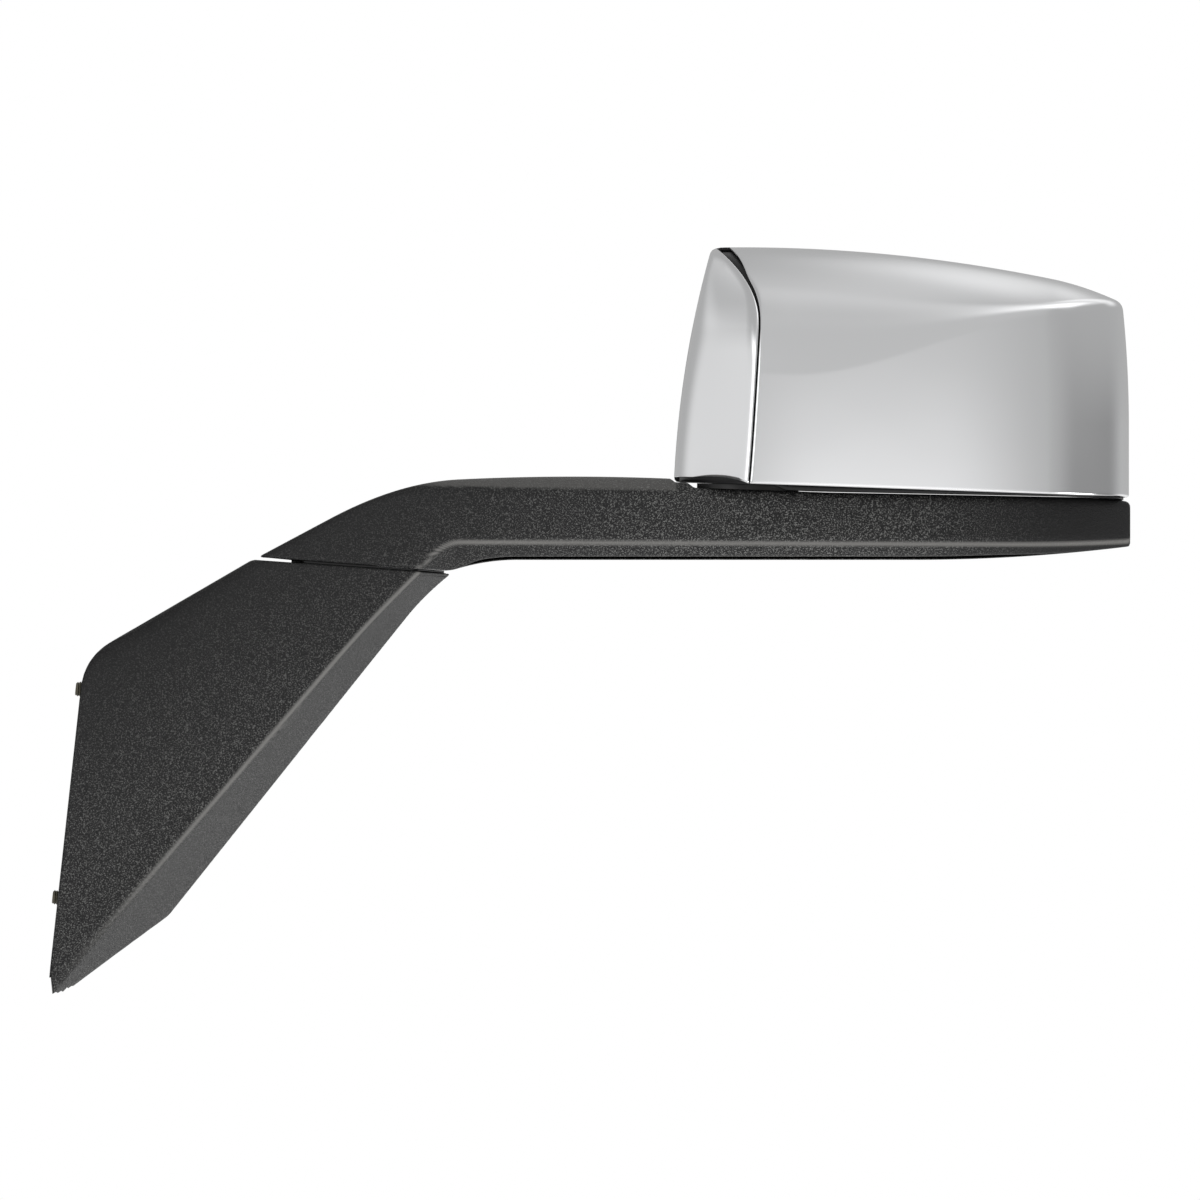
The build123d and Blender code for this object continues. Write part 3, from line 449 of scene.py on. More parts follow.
def base_flanks(x, y, z):
    """The front face and the drafted strip that meets it along the ridge. The strip is ruled from the ridge
    in front to the outline behind, which flares at its top."""
    front = (FRONT_AT_ORIGIN + FRONT_DRAFT * x - y) / math.hypot(1, FRONT_DRAFT)
    ridge_x = 92.3 + 0.858 * (z - 28.7) + 0.0018 * np.maximum(z - 75, 0) ** 2
    outline_x = 161.5 + 0.798 * (z - 86.9) + 0.010 * np.maximum(z - 100, 0) ** 2
    depth = (y - (FRONT_AT_ORIGIN + FRONT_DRAFT * x)) / (REAR_AT_ORIGIN - FRONT_AT_ORIGIN - 0.21 * x)
    strip = (x - ridge_x - (outline_x - ridge_x) * depth) / 1.33
    return front, strip


def base_field(x, y, z):
    """The wedge: flanks, rear, roof, belly, rim and the split's plane, met with roundings."""
    rear = (y - base_rear(x)) / math.hypot(1, REAR_DRAFT)
    roof = (z - 77.4 - 0.582 * (x + 6.15)) / math.hypot(1, 0.582)
    rim = -((x - RIM_X) - RIM_SLOPE * z) * math.cos(math.radians(SEAT_LEAN))
    split = (z - split_z(x) + SPLIT_GAP / 2) * math.cos(math.radians(FOLD_LEAN))
    sides = smooth_max(smooth_max(*base_flanks(x, y, z), 3.6), rear, 6.0)
    belly = BELLY(x, y, z)
    shape = smooth_max(smooth_max(sides, roof, 5.5), belly, 5.0)
    shape = np.maximum(shape, np.maximum(smooth_max(roof, rim, 14.0), smooth_max(belly, rim, 29.0)))
    return smooth_max(shape, split, 1.4)


def base_cover():
    """Sections fan from the rim's plane to the split's plane about the line where those two meet. In each,
    rays go out all round from a point within, and the last loops turn in and close on the bearing's hole."""
    rim_angle, split_angle = -90 - SEAT_LEAN + 0.16, -FOLD_LEAN
    slope_split = -tangent(FOLD_LEAN)
    z0 = (split_z(0) - SPLIT_GAP / 2 + slope_split * RIM_X) / (1 - slope_split * RIM_SLOPE) - 0.12
    x0 = RIM_X + RIM_SLOPE * z0
    fan, around, inward = 160, 284, 10
    t = 1 - graded(fan, 12, 0.012)[::-1]
    angle = np.radians(rim_angle + (split_angle - rim_angle) * t)
    out = np.stack([np.cos(angle), np.zeros(fan), np.sin(angle)], -1)
    middle = 150 - 4 * t
    origin = np.array([x0, 0, z0]) + out * middle[:, None]
    turn = np.linspace(0, 2 * np.pi, around, endpoint=False)
    turn = turn + 0.32 * np.sin(2 * turn)
    ray = out[:, None] * np.cos(turn)[None, :, None] + np.array([0, 1, 0]) * np.sin(turn)[None, :, None]
    field = wells(base_field, BASE_SCREWS, base_rear, 6.5, 6.0)
    skin = cast(field, np.broadcast_to(origin[:, None], ray.shape), ray)
    edge = skin[-1]
    centre = np.array([FOLD_X, 0, split_z(FOLD_X)]) - SPLIT_GAP / 2 * FOLD_AXIS
    flat = edge + FOLD_AXIS * ((centre - edge) @ FOLD_AXIS)[:, None]
    hole = centre + BEARING_HOLE * unit(flat - centre)
    s = np.linspace(0.01, 1, inward)[:, None, None]
    points = np.concatenate([skin, flat + (hole - flat) * s])
    faces = grid_faces(fan + inward, around, closed=True)
    return add_piece("base_cover_skin", points, faces, "base", "black_cover", ["base_cover"], BASE_WALL,
                     ridge=base_ridge_highlight)


def slide_pad():
    """The pad in the gap that the arm slides on: loops run round the base's outline, set in from it."""
    turn = np.linspace(0, 2 * np.pi, 360, endpoint=False)
    drop = 2.6 * FOLD_AXIS
    ray = np.cos(turn)[:, None] * FOLD_ALONG + np.sin(turn)[:, None] * np.array([0, 1, 0])
    centre = np.array([FOLD_X + 6, 0, split_z(FOLD_X + 6)])
    start = np.broadcast_to(centre - drop, ray.shape)

    def outline(x, y, z):
        return smooth_max(base_field(x, y, z) + 1.1, 108 - x, 10.0)

    edge = cast(outline, start, ray) + drop
    hub = np.array([FOLD_X, 0, split_z(FOLD_X)])
    hole = hub + (BEARING_HOLE + 0.6) * unit(edge - hub)
    low, high = (-SPLIT_GAP / 2 + 0.02) * FOLD_AXIS, (SPLIT_GAP / 2 - 0.07) * FOLD_AXIS
    bevel = 0.25
    rows = [edge + low, edge + high - bevel * FOLD_AXIS, edge + bevel * unit(hole - edge) + high,
            hole + high, hole + low, edge + low]
    return add_piece("base_slide_pad", np.stack(rows), grid_faces(6, 360, closed=True), "base", "nylon",
                     welded=True)


# ---------------------------------------------------------------- arm
def arm_half(x):
    """Half the arm's depth."""
    return 28.7 + 0.0905 * smooth_max(215 - x, 0 * x, 60) - 0.0105 * smooth_max(x - 215, 0 * x, 60)


def arm_top(x):
    """Crown of the arm: a straight climb that rounds into a long, slightly bowed top."""
    return smooth_min(134.0 + 0.534 * (x - 92), 176.7 - 0.0004 * (np.minimum(x, 335) - 262) ** 2, 16)


def saddle_top(x):
    """The arm's top under the head."""
    beyond = 168.0 - 0.0193 * (x - 400) - 0.0022 * np.maximum(x - 538, 0) ** 2
    return np.where(x < 400, floor_z(x) - 0.3 - 2.7 * ease((x - 324) / 5), beyond)


def arm_underside(x, lift):
    """The split's plane over the base, then the arm's own underside, raised by lift on the front cover."""
    own = 131.0 - 0.0045 * np.maximum(231 - x, 0) ** 2 + 0.00053 * np.maximum(x - 450, 0) ** 2
    own = own + lift * ease((x - 198) / 14) * (1 - ease((x - 480) / 70))
    return smooth_max(split_z(x) + SPLIT_GAP / 2, own, 1.5)


def ridge_z(x):
    """Height of the ridge along the arm's side, where the bevel below it starts."""
    level = 140.2 - 0.004 * (x - 230) + 0.00042 * np.maximum(x - 500, 0) ** 2
    return smooth_min(131.0 + 1.02 * (x - 182.5), level, 9)


def arm_flank(x, y, z):
    """The arm's upright side and the bevel below its ridge."""
    half = arm_half(x)
    bevel = (ridge_z(x) - z - (half - np.abs(y)) * 9 / 7) * 0.614
    return np.abs(y) - half, bevel


def crown_highlight_band(x, y, z):
    """A painted highlight: the paler band along the crown's bevel, from the bend to the saddle."""
    return 0.5 * ease((z - 171.2 + 0.0175 * (x - 170)) / 1.0) * ease((x - 168) / 25) * (x < 318)


def arm_field(x, y, z, lift):
    """The arm: two sides, a bevelled crown that steps down under the head, a bevel below the ridge, the
    underside and the outboard end, met with roundings."""
    half = arm_half(x)
    shoulder = (z - 171.0 + 0.0175 * (x - 170) + (np.abs(y) - half) * 0.94) / 1.37
    crown = smooth_max(z - arm_top(x), shoulder, 2.5)
    step = x - np.interp(y, [-7, 30], [316.5, 304.0])
    top = smooth_max(crown, smooth_min(z - saddle_top(x), step, 2.0), 1.5)
    shape = smooth_max(smooth_max(*arm_flank(x, y, z), 3.4), top, 3.5)
    shape = smooth_max(shape, x - ARM_END, 3.5)
    return smooth_max(shape, arm_underside(x, lift) - z, 1.8)


def arm_cover(front):
    """Half of the arm's skin. Sections fan up from the split's plane to upright ones about the inner bend,
    and then march out along the arm. In each, rays go from the parting plane's middle down, out and up."""
    sign = -1 if front else 1
    lift = 1.8 if front else 0.0
    y0 = PART_Y + sign * PART_GAP
    bend = np.array([206.0, 0, split_z(206.0) + SPLIT_GAP / 2]) + 0.1 * FOLD_AXIS
    tip_x = ARM_END - 0.05
    fan, march, around, inward = 110, 260, 120, 8
    t = graded(fan, 10, 0.02)
    angle = np.radians(180 - FOLD_LEAN - (90 - FOLD_LEAN) * t)
    out = np.stack([np.cos(angle), np.zeros(fan), np.sin(angle)], -1)
    reach = 68 - 42 * ease(t)
    start = bend + out * reach[:, None]
    u = 1 - graded(march + 1, 8, 0.012)[::-1]
    x = bend[0] + (ARM_END - 0.7 - bend[0]) * u[1:]
    middle_z = (np.where(x < 316, arm_top(x), saddle_top(x)) + arm_underside(x, lift)) / 2
    first = start[-1, 2]
    middle_z = first + (middle_z - first) * ease((x - 206) / 40)
    march_start = np.stack([x, 0 * x, middle_z], -1)
    up = np.zeros((march, 3))
    up[:, 2] = 1
    origin = np.concatenate([start, march_start])
    origin[:, 1] = y0 + sign * 0.05
    out = np.concatenate([out, up])
    turn = np.linspace(-np.pi / 2, np.pi / 2, around)
    turn = turn - 0.18 * np.sin(4 * turn)
    ray = out[:, None] * np.sin(turn)[None, :, None] + np.array([0, sign, 0]) * np.cos(turn)[None, :, None]

    def parted(px, py, pz):
        return smooth_max(arm_field(px, py, pz, lift), sign * (y0 - py), 0.7)

    field = parted
    if not front:
        field = wells(parted, ARM_SCREWS, arm_half, 6.0, 7.0)
    skin = cast(field, np.broadcast_to(origin[:, None], ray.shape), ray, 300)
    hub = np.array([FOLD_X, 0, split_z(FOLD_X)]) + SPLIT_GAP / 2 * FOLD_AXIS
    edge = skin[0]
    flat = edge + FOLD_AXIS * ((hub - edge) @ FOLD_AXIS)[:, None]
    low = math.asin(abs(y0) / BEARING_HOLE) * (1 if front else -1)
    sweep = np.linspace(low, np.pi - low, around)
    across = np.array([0, sign, 0])
    hole = hub + BEARING_HOLE * (np.cos(sweep)[:, None] * FOLD_ALONG + np.sin(sweep)[:, None] * across)
    s = np.linspace(1, 0.01, inward)[:, None, None]
    s_end = np.linspace(1, 0, 10)[1:, None, None]
    tip = np.array([tip_x, y0, middle_z[-1]])
    end = tip + (skin[-1] - tip) * s_end
    end[..., 0] = tip_x - 0.25 * s_end[..., 0] ** 8
    points = np.concatenate([flat + (hole - flat) * s, skin, end])
    faces = grid_faces(inward + fan + march + 9, around)
    name = "arm_front_skin" if front else "arm_rear_skin"
    return add_piece(name, points, faces, "arm", "black_cover",
                     ["arm_cover_front" if front else "arm_cover_rear"], ARM_WALL, flip=front, welded=True,
                     ridge=ridge_highlight_mask(arm_flank, 1.15, crown_highlight_band))


# ---------------------------------------------------------------- head
def head_left(z):
    """The inboard end in front view: an arc of 569 mm radius."""
    return 885.9 - np.sqrt(569.0 ** 2 - (z - 148.9) ** 2)


def head_right(z):
    """The outboard end in front view, which leans in a little near the top."""
    return 567.75 - 0.0008 * np.maximum(z - 205, 0) ** 2


def head_top(x):
    """The roof's outline in front view: a shallow bow that drops faster outboard."""
    return 303.2 - 0.0006 * (x - 355) ** 2 - 0.003 * np.maximum(x - 525, 0) ** 2


def edge_x(z):
    """The end cap's edge in front view: it leans out as it climbs, then sweeps back over the roof."""
    climb = 358.0 + 5.9 * np.clip((z - 172) / 86, 0, 1) ** 0.85
    return climb - 0.0135 * np.maximum(z - 262, 0) ** 2


def crease_z(x):
    """Height of the crease between front and roof, which climbs outboard."""
    return 262 + 6.0 * np.clip((x - 425) / 126, -0.6, 1.2)


def roof_z(x, y):
    """The roof in section: it leaves the crease at a slope that dies away towards the rear."""
    s = np.clip((y + 60) / 80, -0.4, 1)
    return crease_z(x) + (head_top(x) - crease_z(x)) * (1 - (1 - s) ** 2)


def head_field(x, y, z):
    """The head's form: crowned front, roof, outboard end and raked inboard end, met with roundings that
    sharpen along the crease towards the outboard end."""
    front = -61.9 + 0.0009 * (x - 430) ** 2 + 0.016 * (z - 200) + 0.0002 * (z - 215) ** 2 - y
    rise = 1 - np.clip((y + 60) / 80, 0, 1)
    roof = (z - roof_z(x, y)) / np.sqrt(1 + ((head_top(x) - crease_z(x)) / 40 * rise) ** 2)
    bulge = np.maximum(10 - y, 0)
    out = (x - head_right(z) + 0.0036 * bulge ** 2) / np.sqrt(1 + (0.0072 * bulge) ** 2)
    ex = edge_x(z) - 1.5
    share = (z - crease_z(ex)) / (head_top(ex) - crease_z(ex))
    share = np.clip(np.where(share > 0.3, share, np.maximum(share + 0.3, 0) ** 2 / 1.2), 0, 0.9999)
    ey = -59.0 + 79 * (1 - np.sqrt(1 - share))
    left = head_left(z)
    ay = np.maximum(-5 + 14 * ease((z - 262) / 40), ey + 10)
    run, back = ex - left, ay - ey
    rake = (-back * (x - ex) - run * (y - ey)) / np.hypot(run, back)
    inboard = smooth_max(rake, left - x, 16 - 12 * ease((z - 255) / 40))
    shape = smooth_max(front, out, 28)
    shape = smooth_max(shape, roof, 20 - 16 * ease((x - 380) / 150))
    return smooth_max(shape, inboard, 4.0)


def head_shell(side_x, seam, field, p, q, lift=None, rear=CHROME_REAR, roll=0.0):
    """A shell of the head from its seam to its end. Rays start on the rear plane: straight forwards over most
    of the front, turning outwards past side_x and upwards past the crease, until they lie in the rear plane.
    Each ray is found again as its column is bent to follow the seam at the height where it lands, and the
    last roll millimetres before the seam turn in along a quarter circle."""
    p, q = np.meshgrid(p, q)
    straight, level, high = 0.66, 0.5, 248.0
    alpha = np.pi / 2 * np.clip((p - straight) / (1 - straight), 0, 1)
    beta = np.pi / 2 * np.clip((q - level) / (1 - level), 0, 1) ** 1.3
    sign = 1.0 if side_x > seam(200.0) else -1.0
    across, climb = np.clip(p / straight, 0, 1), np.clip(q / level, 0, 1)
    dx = sign * np.sin(alpha)
    dz = np.sin(beta) - tangent(PAN_LEAN) * dx * (1 - climb)
    ray = unit(np.stack([dx, -np.cos(alpha) * np.cos(beta), dz], -1))
    landed = 172 + climb * 90
    for _ in range(16):
        width = np.maximum(sign * (side_x - seam(landed)), 4.0)
        x0 = seam(landed) + sign * (0.05 + width * across)
        low = floor_z(x0) + 0.05 + (lift(x0) if lift else 0)
        origin = np.stack([x0, np.full_like(x0, rear), low + (high - low) * climb], -1)
        points = cast(field, origin, ray, 200)
        landed = (landed + points[..., 2]) / 2
    if roll:
        near = np.clip(1 - np.abs(x0 - seam(landed)) / roll, 0, 1)
        points = points - ray * (roll * (1 - np.sqrt(1 - near ** 2)))[..., None]
    return points


def cover_seam(z):
    """The main cover's inboard edge: a hair from the cap's, then drawn away from it over the roof."""
    return edge_x(z) + 0.5 + 1.0 * ease((z - 262) / 25) + 5.5 * ease((z - 283) / 20)


def floored(field, lift=None):
    """The field cut by the head's underside, its edge rounded in."""
    def inner(x, y, z):
        return smooth_max(field(x, y, z), floor_z(x) - z + (lift(x) if lift else 0), 1.8)
    return inner


def arch(x):
    """The shallow arch in the end cap's lower edge, over the pivot pad."""
    return 3.0 * np.clip(1 - ((x - 341) / 17) ** 2, 0, 1)


def chrome_cover():
    """The main chromed cover: head_shell's rays from the seam to the outboard end, its seam edge rolled in."""
    p, q = graded(250, 10, 0.009), graded(190, 8, 0.013)
    points = head_shell(530.0, cover_seam, floored(head_field), p, q, roll=0.8)
    return add_piece("chrome_cover_skin", points, grid_faces(190, 250), "head", "chrome",
                     ["chrome_cover"], CHROME_WALL)


def chrome_end_cap():
    """The inboard chromed cap: head_shell's rays from the seam the other way, over an arched lower edge."""
    p, q = graded(120, 12, 0.16), graded(190, 8, 0.013)
    points = head_shell(346.0, edge_x, floored(head_field, arch), p, q, arch, roll=1.5)
    return add_piece("chrome_end_cap_skin", points, grid_faces(190, 120), "head", "chrome",
                     ["chrome_end_cap"], CHROME_WALL, flip=True)


def housing_bucket():
    """The black shell under the chrome, open behind, with a floor that closes on the pivot's round hole."""
    def inset(x, y, z):
        return smooth_max(head_field(x, y, z) + 2.6, floor_z(x) - z, 1.0)

    wall_p, wall_q = np.linspace(0, 1, 120), np.linspace(0, 1, 90)
    right = head_shell(530.0, lambda z: 0 * z + 420.0, inset, wall_p, wall_q, rear=20.0)
    left = head_shell(350.0, lambda z: 0 * z + 420.0, inset, wall_p, wall_q, rear=20.0)
    skin = np.concatenate([left[:, ::-1], right[:, 1:]], axis=1)
    skin[0, :, 2] = floor_z(skin[0, :, 0]) + 0.02
    count = skin.shape[1]
    hub = np.array([PAN_X, PAN_Y, floor_z(PAN_X)])
    rear_edge = skin[0, -1] + (skin[0, 0] - skin[0, -1]) * np.linspace(0, 1, 60)[1:-1, None]
    rim = np.concatenate([skin[0], rear_edge])
    hole = hub + (SPIGOT_R + 0.4) * unit(rim - hub)
    hole[:, 2] = floor_z(hole[:, 0]) + 0.02
    s = np.linspace(0, 1, 8)[:, None, None]
    floor = rim + (hole - rim) * s
    points = np.concatenate([skin.reshape(-1, 3), floor.reshape(-1, 3)])
    faces = np.concatenate([grid_faces(skin.shape[0], count),
                            grid_faces(8, len(rim), closed=True, start=skin.shape[0] * count)[:, ::-1]])
    return add_piece("head_housing_bucket", points, faces, "head", "black_housing", ["head_housing"], 2.4,
                     welded=True)


def floor_lip():
    """A lip under the head's floor that keeps the gap over the arm dark. Its depth follows the distance from
    the pivot, so that it clears the arm however the head is turned."""
    turn = np.linspace(0, 2 * np.pi, 400, endpoint=False)
    ray = np.stack([np.cos(turn), np.sin(turn), -np.cos(turn) * tangent(PAN_LEAN)], -1)
    hub = np.array([PAN_X, PAN_Y, floor_z(PAN_X) + 3.0])

    def outline(x, y, z):
        return smooth_max(head_field(x, y, z) + 3.0, y - 30.0, 6.0)

    edge = cast(outline, np.broadcast_to(hub, ray.shape), unit(ray)) - np.array([0, 0, 3.0])
    hub[2] -= 3.0
    hole = hub + (SPIGOT_R + 9.0) * unit(edge - hub)

    def hung(points, share):
        x = PAN_X + np.hypot(points[:, 0] - PAN_X, points[:, 1] - PAN_Y)
        depth = np.clip(floor_z(x) - saddle_top(np.maximum(x, 400)) - 0.4, 0.1, 2.5)
        depth = 0.1 + (depth - 0.1) * ease((points[:, 0] - 372) / 8)
        return points - np.array([0, 0, 1]) * (depth * share)[:, None]

    up = np.array([0, 0, 0.4])
    inward = [edge + (hole - edge) * s for s in np.linspace(0.004, 1, 40)]
    rows = [edge + up, hung(edge, 0.7)] + [hung(row, 1.0) for row in inward] + [hole + up, edge + up]
    return add_piece("head_floor_lip", np.stack(rows), grid_faces(len(rows), 400, closed=True), "head",
                     "black_housing", flip=True, welded=True)


def head_loop(y, inset, around=420):
    """A closed loop round the head at one y, moved in by inset; denser where the corners are."""
    turn = np.linspace(0, 2 * np.pi, around, endpoint=False)
    ray = np.stack([np.cos(turn), 0 * turn, np.sin(turn) * 0.55], -1)
    origin = np.broadcast_to(np.array([HEAD_MIDDLE_X, y, HEAD_MIDDLE_Z]), ray.shape)

    def field(x, yy, z):
        return smooth_max(head_field(x, yy, z), floor_z(x) - z, 3.0) + inset

    return cast(field, origin, unit(ray), 250)


def housing_band():
    """The black band behind the chrome: loops round the head from the chrome's rear edge to the bezel."""
    stations = [(20.0, 2.6), (20.0, 0.5), (20.3, 0.0), (26.0, 0.0), (32.0, 0.0), (38.4, 0.0), (38.9, 0.4)]
    points = np.stack([head_loop(y, inset) for y, inset in stations])
    return add_piece("head_housing_band", points, grid_faces(len(stations), 420, closed=True), "head",
                     "black_housing", ["head_housing"], 2.2, flip=True)


def opening_field(x, y, z):
    """The opening for the glass: four bowed sides met with wide roundings."""
    low = 175.5 + (559 - x) * 7.5 / 232 - z
    high = z - 291.5 + 0.00058 * np.maximum(x - 346, 0) ** 2
    left = (327.0 + 0.0018 * np.maximum(z - 183, 0) ** 2 * 0.86 - x)
    right = x - 559.0 + 0.0004 * np.maximum(z - 175, 0) ** 2
    return smooth_max(smooth_max(low, high, 24), smooth_max(left, right, 24), 24)


def bezel():
    """The trim ring round the glass: a profile carried round between the head's outline and the opening."""
    outer = head_loop(BEZEL_Y, 0.0)
    centre = np.array([HEAD_MIDDLE_X, BEZEL_Y, HEAD_MIDDLE_Z])
    inner = cast(opening_field, np.broadcast_to(centre, outer.shape), unit(outer - centre), 250)
    profile = [(39.4, 0.8), (39.4, 0.25), (39.9, 0.0), (42.2, 0.0), (43.3, 0.5), (43.9, 1.6)]
    rows = [outer - unit(outer - centre) * inset + np.array([0, y - BEZEL_Y, 0]) for y, inset in profile]
    lip = [(43.9, 3.3), (43.6, 2.0), (42.8, 1.25), (41.5, 1.1), (36.0, 1.1), (36.0, 2.6), (39.4, 3.3)]
    rows += [inner + unit(inner - centre) * inset + np.array([0, y - BEZEL_Y, 0]) for y, inset in lip]
    points = np.stack(rows + rows[:1])
    return add_piece("bezel_ring_trim", points, grid_faces(len(points), 420, closed=True), "head",
                     "black_housing", ["bezel_ring"], flip=True, welded=True)


# ---------------------------------------------------------------- studs
def stud_thread():
    """Three studs with collars. Each is one surface r(turn, height): the radius follows a saw of the thread's
    pitch that climbs once per turn, fading in above the collar and out at the tip."""
    lean = math.radians(SEAT_LEAN)
    out = np.array([-math.cos(lean), 0, math.sin(lean)])
    up = np.array([math.sin(lean), 0, math.cos(lean)])
    side = np.cross(out, up)
    turn = np.linspace(0, 2 * np.pi, 48, endpoint=False)
    h = np.concatenate([[-11.5, -11.5, -3.0, -3.0, 0, 0], np.linspace(0.05, 17.8, 200), [17.8]])
    radius = np.concatenate([[0, 4.6, 4.6, 7.5, 7.5, 4.0], np.full(200, 4.0), [0]])
    phase = h[:, None] / THREAD_PITCH - turn[None, :] / (2 * np.pi)
    saw = np.abs((phase % 1) * 2 - 1)
    threaded = ((h > 0.04) & (radius > 3.9))[:, None]
    fade = np.clip((h[:, None] - 0.8) / 1.2, 0, 1)
    r = radius[:, None] - np.where(threaded, THREAD_DEPTH * saw * fade, 0)
    r = np.where(threaded, np.minimum(r, 4.0 - 0.9 * np.clip((h[:, None] - 16.9) / 0.9, 0, 1)), r)
    ring = (np.cos(turn)[None, :, None] * up + np.sin(turn)[None, :, None] * side) * r[..., None]
    stud = ring + h[:, None, None] * out
    points, faces = [], []
    for i, (climb, y) in enumerate(STUD_PLACES):
        points.append((stud + up * climb + np.array([0, y, 0])).reshape(-1, 3))
        faces.append(grid_faces(len(h), 48, closed=True, start=i * len(h) * 48))
    return add_piece("stud_threads", np.concatenate(points), np.concatenate(faces), "base", "plated_studs",
                     ["mounting_studs"], welded=True)


# ---------------------------------------------------------------- carried-over nodes
def dress_cad_nodes():
    """Gives each CAD node that still shows the finish of its slot."""
    slots = {row["node"]: row["material_slot"] for row in frame["record"]["subparts"]}
    for name, part in frame["nodes"].items():
        part.data.materials.clear()
        part.data.materials.append(MATERIALS[slots[name]])


# ---------------------------------------------------------------- stage
ROOM = 0.53
# each: strength, then windows on the direction's x, y and z as (none, full, full, none), or None for all
SOFT_BOXES = [
    (0.75, (-0.36, -0.12, 0.14, 0.38), (-2, -1.9, -0.3, 0.1), (-0.9, -0.7, -0.03, 0.08)),
    (-0.24, (0.40, 0.75, 2, 3), (-2, -1.9, 0.1, 0.8), (-2, -1.9, -0.01, 0.09)),
    (0.13, (-0.6, -0.4, 0.2, 0.45), (-1.2, -1.1, -0.5, 0.0), (0.05, 0.14, 0.75, 0.95)),
    (0.60, (0.035, 0.10, 1.0, 1.1), (0.32, 0.78, 0.82, 1.02), (0.15, 0.45, 2, 3)),
    (0.90, (-0.20, 0.33, 0.48, 0.76), (-0.76, -0.35, -0.13, 0.62), (0.10, 0.27, 2, 3)),
    (0.22, (0.0, 0.06, 1.0, 1.1), (-0.74, -0.33, 0.6, 0.9), (0.51, 0.67, 2, 3)),
    (0.40, (-2, -1.9, -0.80, -0.55), None, (-1.2, -1.1, 0.0, 0.6)),
    (1.5, (-0.92, -0.75, -0.45, -0.33), (-2, -1.9, -0.35, -0.1), (-0.25, -0.1, 0.2, 0.6)),
    (7.5, (0.35, 0.5, 0.8, 0.95), (-0.8, -0.6, -0.3, -0.1), (-0.85, -0.7, -0.5, -0.35)),
    (0.55, None, (0.3, 0.8, 2, 3), (-0.7, -0.5, -0.1, 0.02)),
    (0.40, None, None, (-2, -1.9, -0.8, -0.4)),
]


def build_world():
    """White to the camera. To the object, a grey room with soft boxes and one flag in given directions."""
    world = bpy.data.worlds.new("Studio")
    bpy.context.scene.world = world
    world.use_nodes = True
    tree = world.node_tree
    tree.nodes.clear()
    link = tree.links.new
    place = node(tree, "ShaderNodeTexCoord", (-1300, 0))
    total = node(tree, "ShaderNodeValue", (-500, 300))
    total.outputs[0].default_value = ROOM
    level = total.outputs[0]
    axes = node(tree, "ShaderNodeSeparateXYZ", (-1150, 0))
    link(place.outputs["Generated"], axes.inputs[0])
    for i, (strength, *windows) in enumerate(SOFT_BOXES):
        inside = None
        for axis, window in enumerate(windows):
            for start, full in [window[:2], window[:1:-1]] if window else []:
                soft = node(tree, "ShaderNodeMapRange", (-900 + 100 * axis, -200 * i),
                            interpolation_type="SMOOTHSTEP")
                soft.inputs["From Min"].default_value = start
                soft.inputs["From Max"].default_value = full
                soft.inputs["To Max"].default_value = strength if inside is None else 1.0
                link(axes.outputs[axis], soft.inputs["Value"])
                if inside is None:
                    inside = soft.outputs["Result"]
                    continue
                both = node(tree, "ShaderNodeMath", (-600 + 60 * axis, -200 * i), operation="MULTIPLY")
                link(inside, both.inputs[0])
                link(soft.outputs["Result"], both.inputs[1])
                inside = both.outputs[0]
        sum_up = node(tree, "ShaderNodeMath", (-300, -200 * i), operation="ADD")
        link(level, sum_up.inputs[0])
        link(inside, sum_up.inputs[1])
        level = sum_up.outputs[0]
    room = node(tree, "ShaderNodeBackground", (200, 0))
    link(level, room.inputs["Strength"])
    white = node(tree, "ShaderNodeBackground", (200, -150))
    white.inputs["Color"].default_value = (1, 1, 1, 1)
    path = node(tree, "ShaderNodeLightPath", (0, 300))
    mix = node(tree, "ShaderNodeMixShader", (400, 0))
    link(path.outputs["Is Camera Ray"], mix.inputs[0])
    link(room.outputs[0], mix.inputs[1])
    link(white.outputs[0], mix.inputs[2])
    end = node(tree, "ShaderNodeOutputWorld", (600, 0))
    link(mix.outputs[0], end.inputs["Surface"])


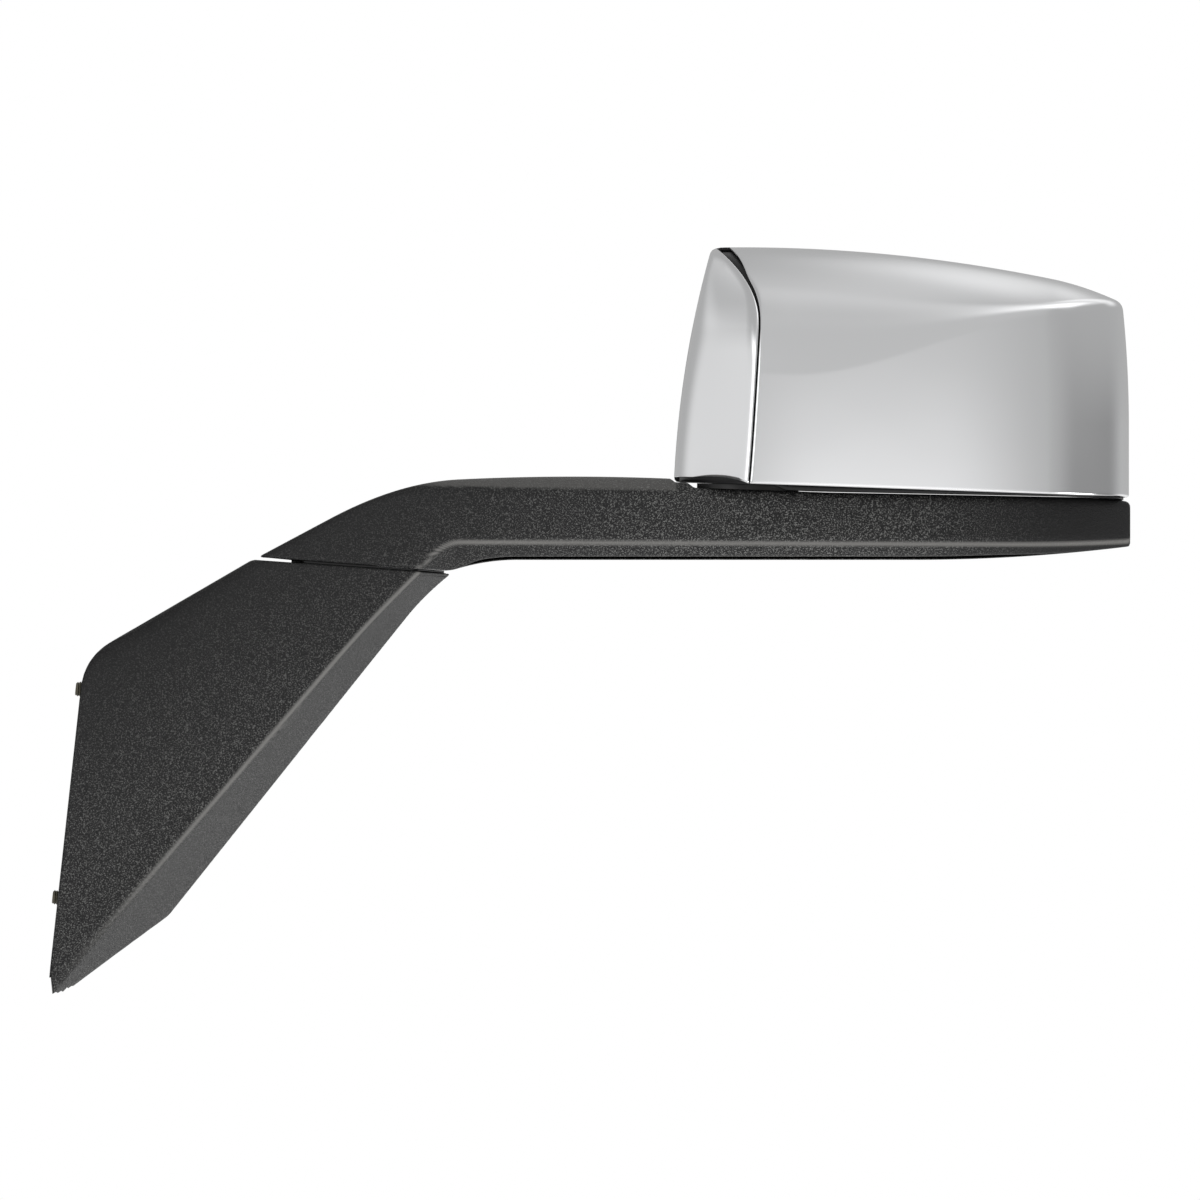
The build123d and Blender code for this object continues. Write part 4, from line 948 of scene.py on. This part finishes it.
def build_camera():
    """A long lens, level, square on to the front."""
    camera = bpy.data.cameras.new("Camera")
    camera.sensor_width = 36.0
    distance, width = 12.0, 0.660
    camera.lens = camera.sensor_width * distance / width
    camera.clip_end = 60.0
    view = bpy.data.objects.new("Camera", camera)
    bpy.context.scene.collection.objects.link(view)
    view.location = (0.27665, -distance, 0.1089)
    view.rotation_euler = (math.radians(90), 0, 0)
    bpy.context.scene.camera = view


def build_floor():
    """A pale floor well below, a fan of rings from the middle out, clear when seen from underneath."""
    material, tree, shader = new_material("PaleFloor")
    shader.inputs["Base Color"].default_value = (0.86, 0.86, 0.86, 1)
    shader.inputs["Roughness"].default_value = 0.9
    clear = node(tree, "ShaderNodeBsdfTransparent", (300, -200))
    back = node(tree, "ShaderNodeNewGeometry", (100, 300))
    pick = node(tree, "ShaderNodeMixShader", (500, 100))
    tree.links.new(back.outputs["Backfacing"], pick.inputs[0])
    tree.links.new(shader.outputs[0], pick.inputs[1])
    tree.links.new(clear.outputs[0], pick.inputs[2])
    tree.links.new(pick.outputs[0], tree.nodes["Material Output"].inputs["Surface"])
    turn = np.linspace(0, 2 * np.pi, 96, endpoint=False)
    radius = np.linspace(0.0, 1.6, 12)[:, None]
    points = np.stack([0.27 + radius * np.cos(turn), radius * np.sin(turn), -0.46 + 0 * radius * turn], -1)
    points, faces = weld(points.reshape(-1, 3) / MM, grid_faces(12, 96, closed=True))
    mesh = bpy.data.meshes.new("floor")
    mesh.from_pydata((points * MM).tolist(), [], faces)
    mesh.update()
    floor = bpy.data.objects.new("floor", mesh)
    bpy.context.scene.collection.objects.link(floor)
    mesh.materials.append(material)
    floor.visible_glossy = False
    floor.visible_diffuse = False


def build_stage():
    build_world()
    build_camera()
    build_floor()
    bpy.context.scene.view_settings.view_transform = "Standard"


build_stage()
dress_cad_nodes()
base_cover()
slide_pad()
arm_cover(True)
arm_cover(False)
chrome_cover()
chrome_end_cap()
housing_bucket()
floor_lip()
housing_band()
bezel()
stud_thread()
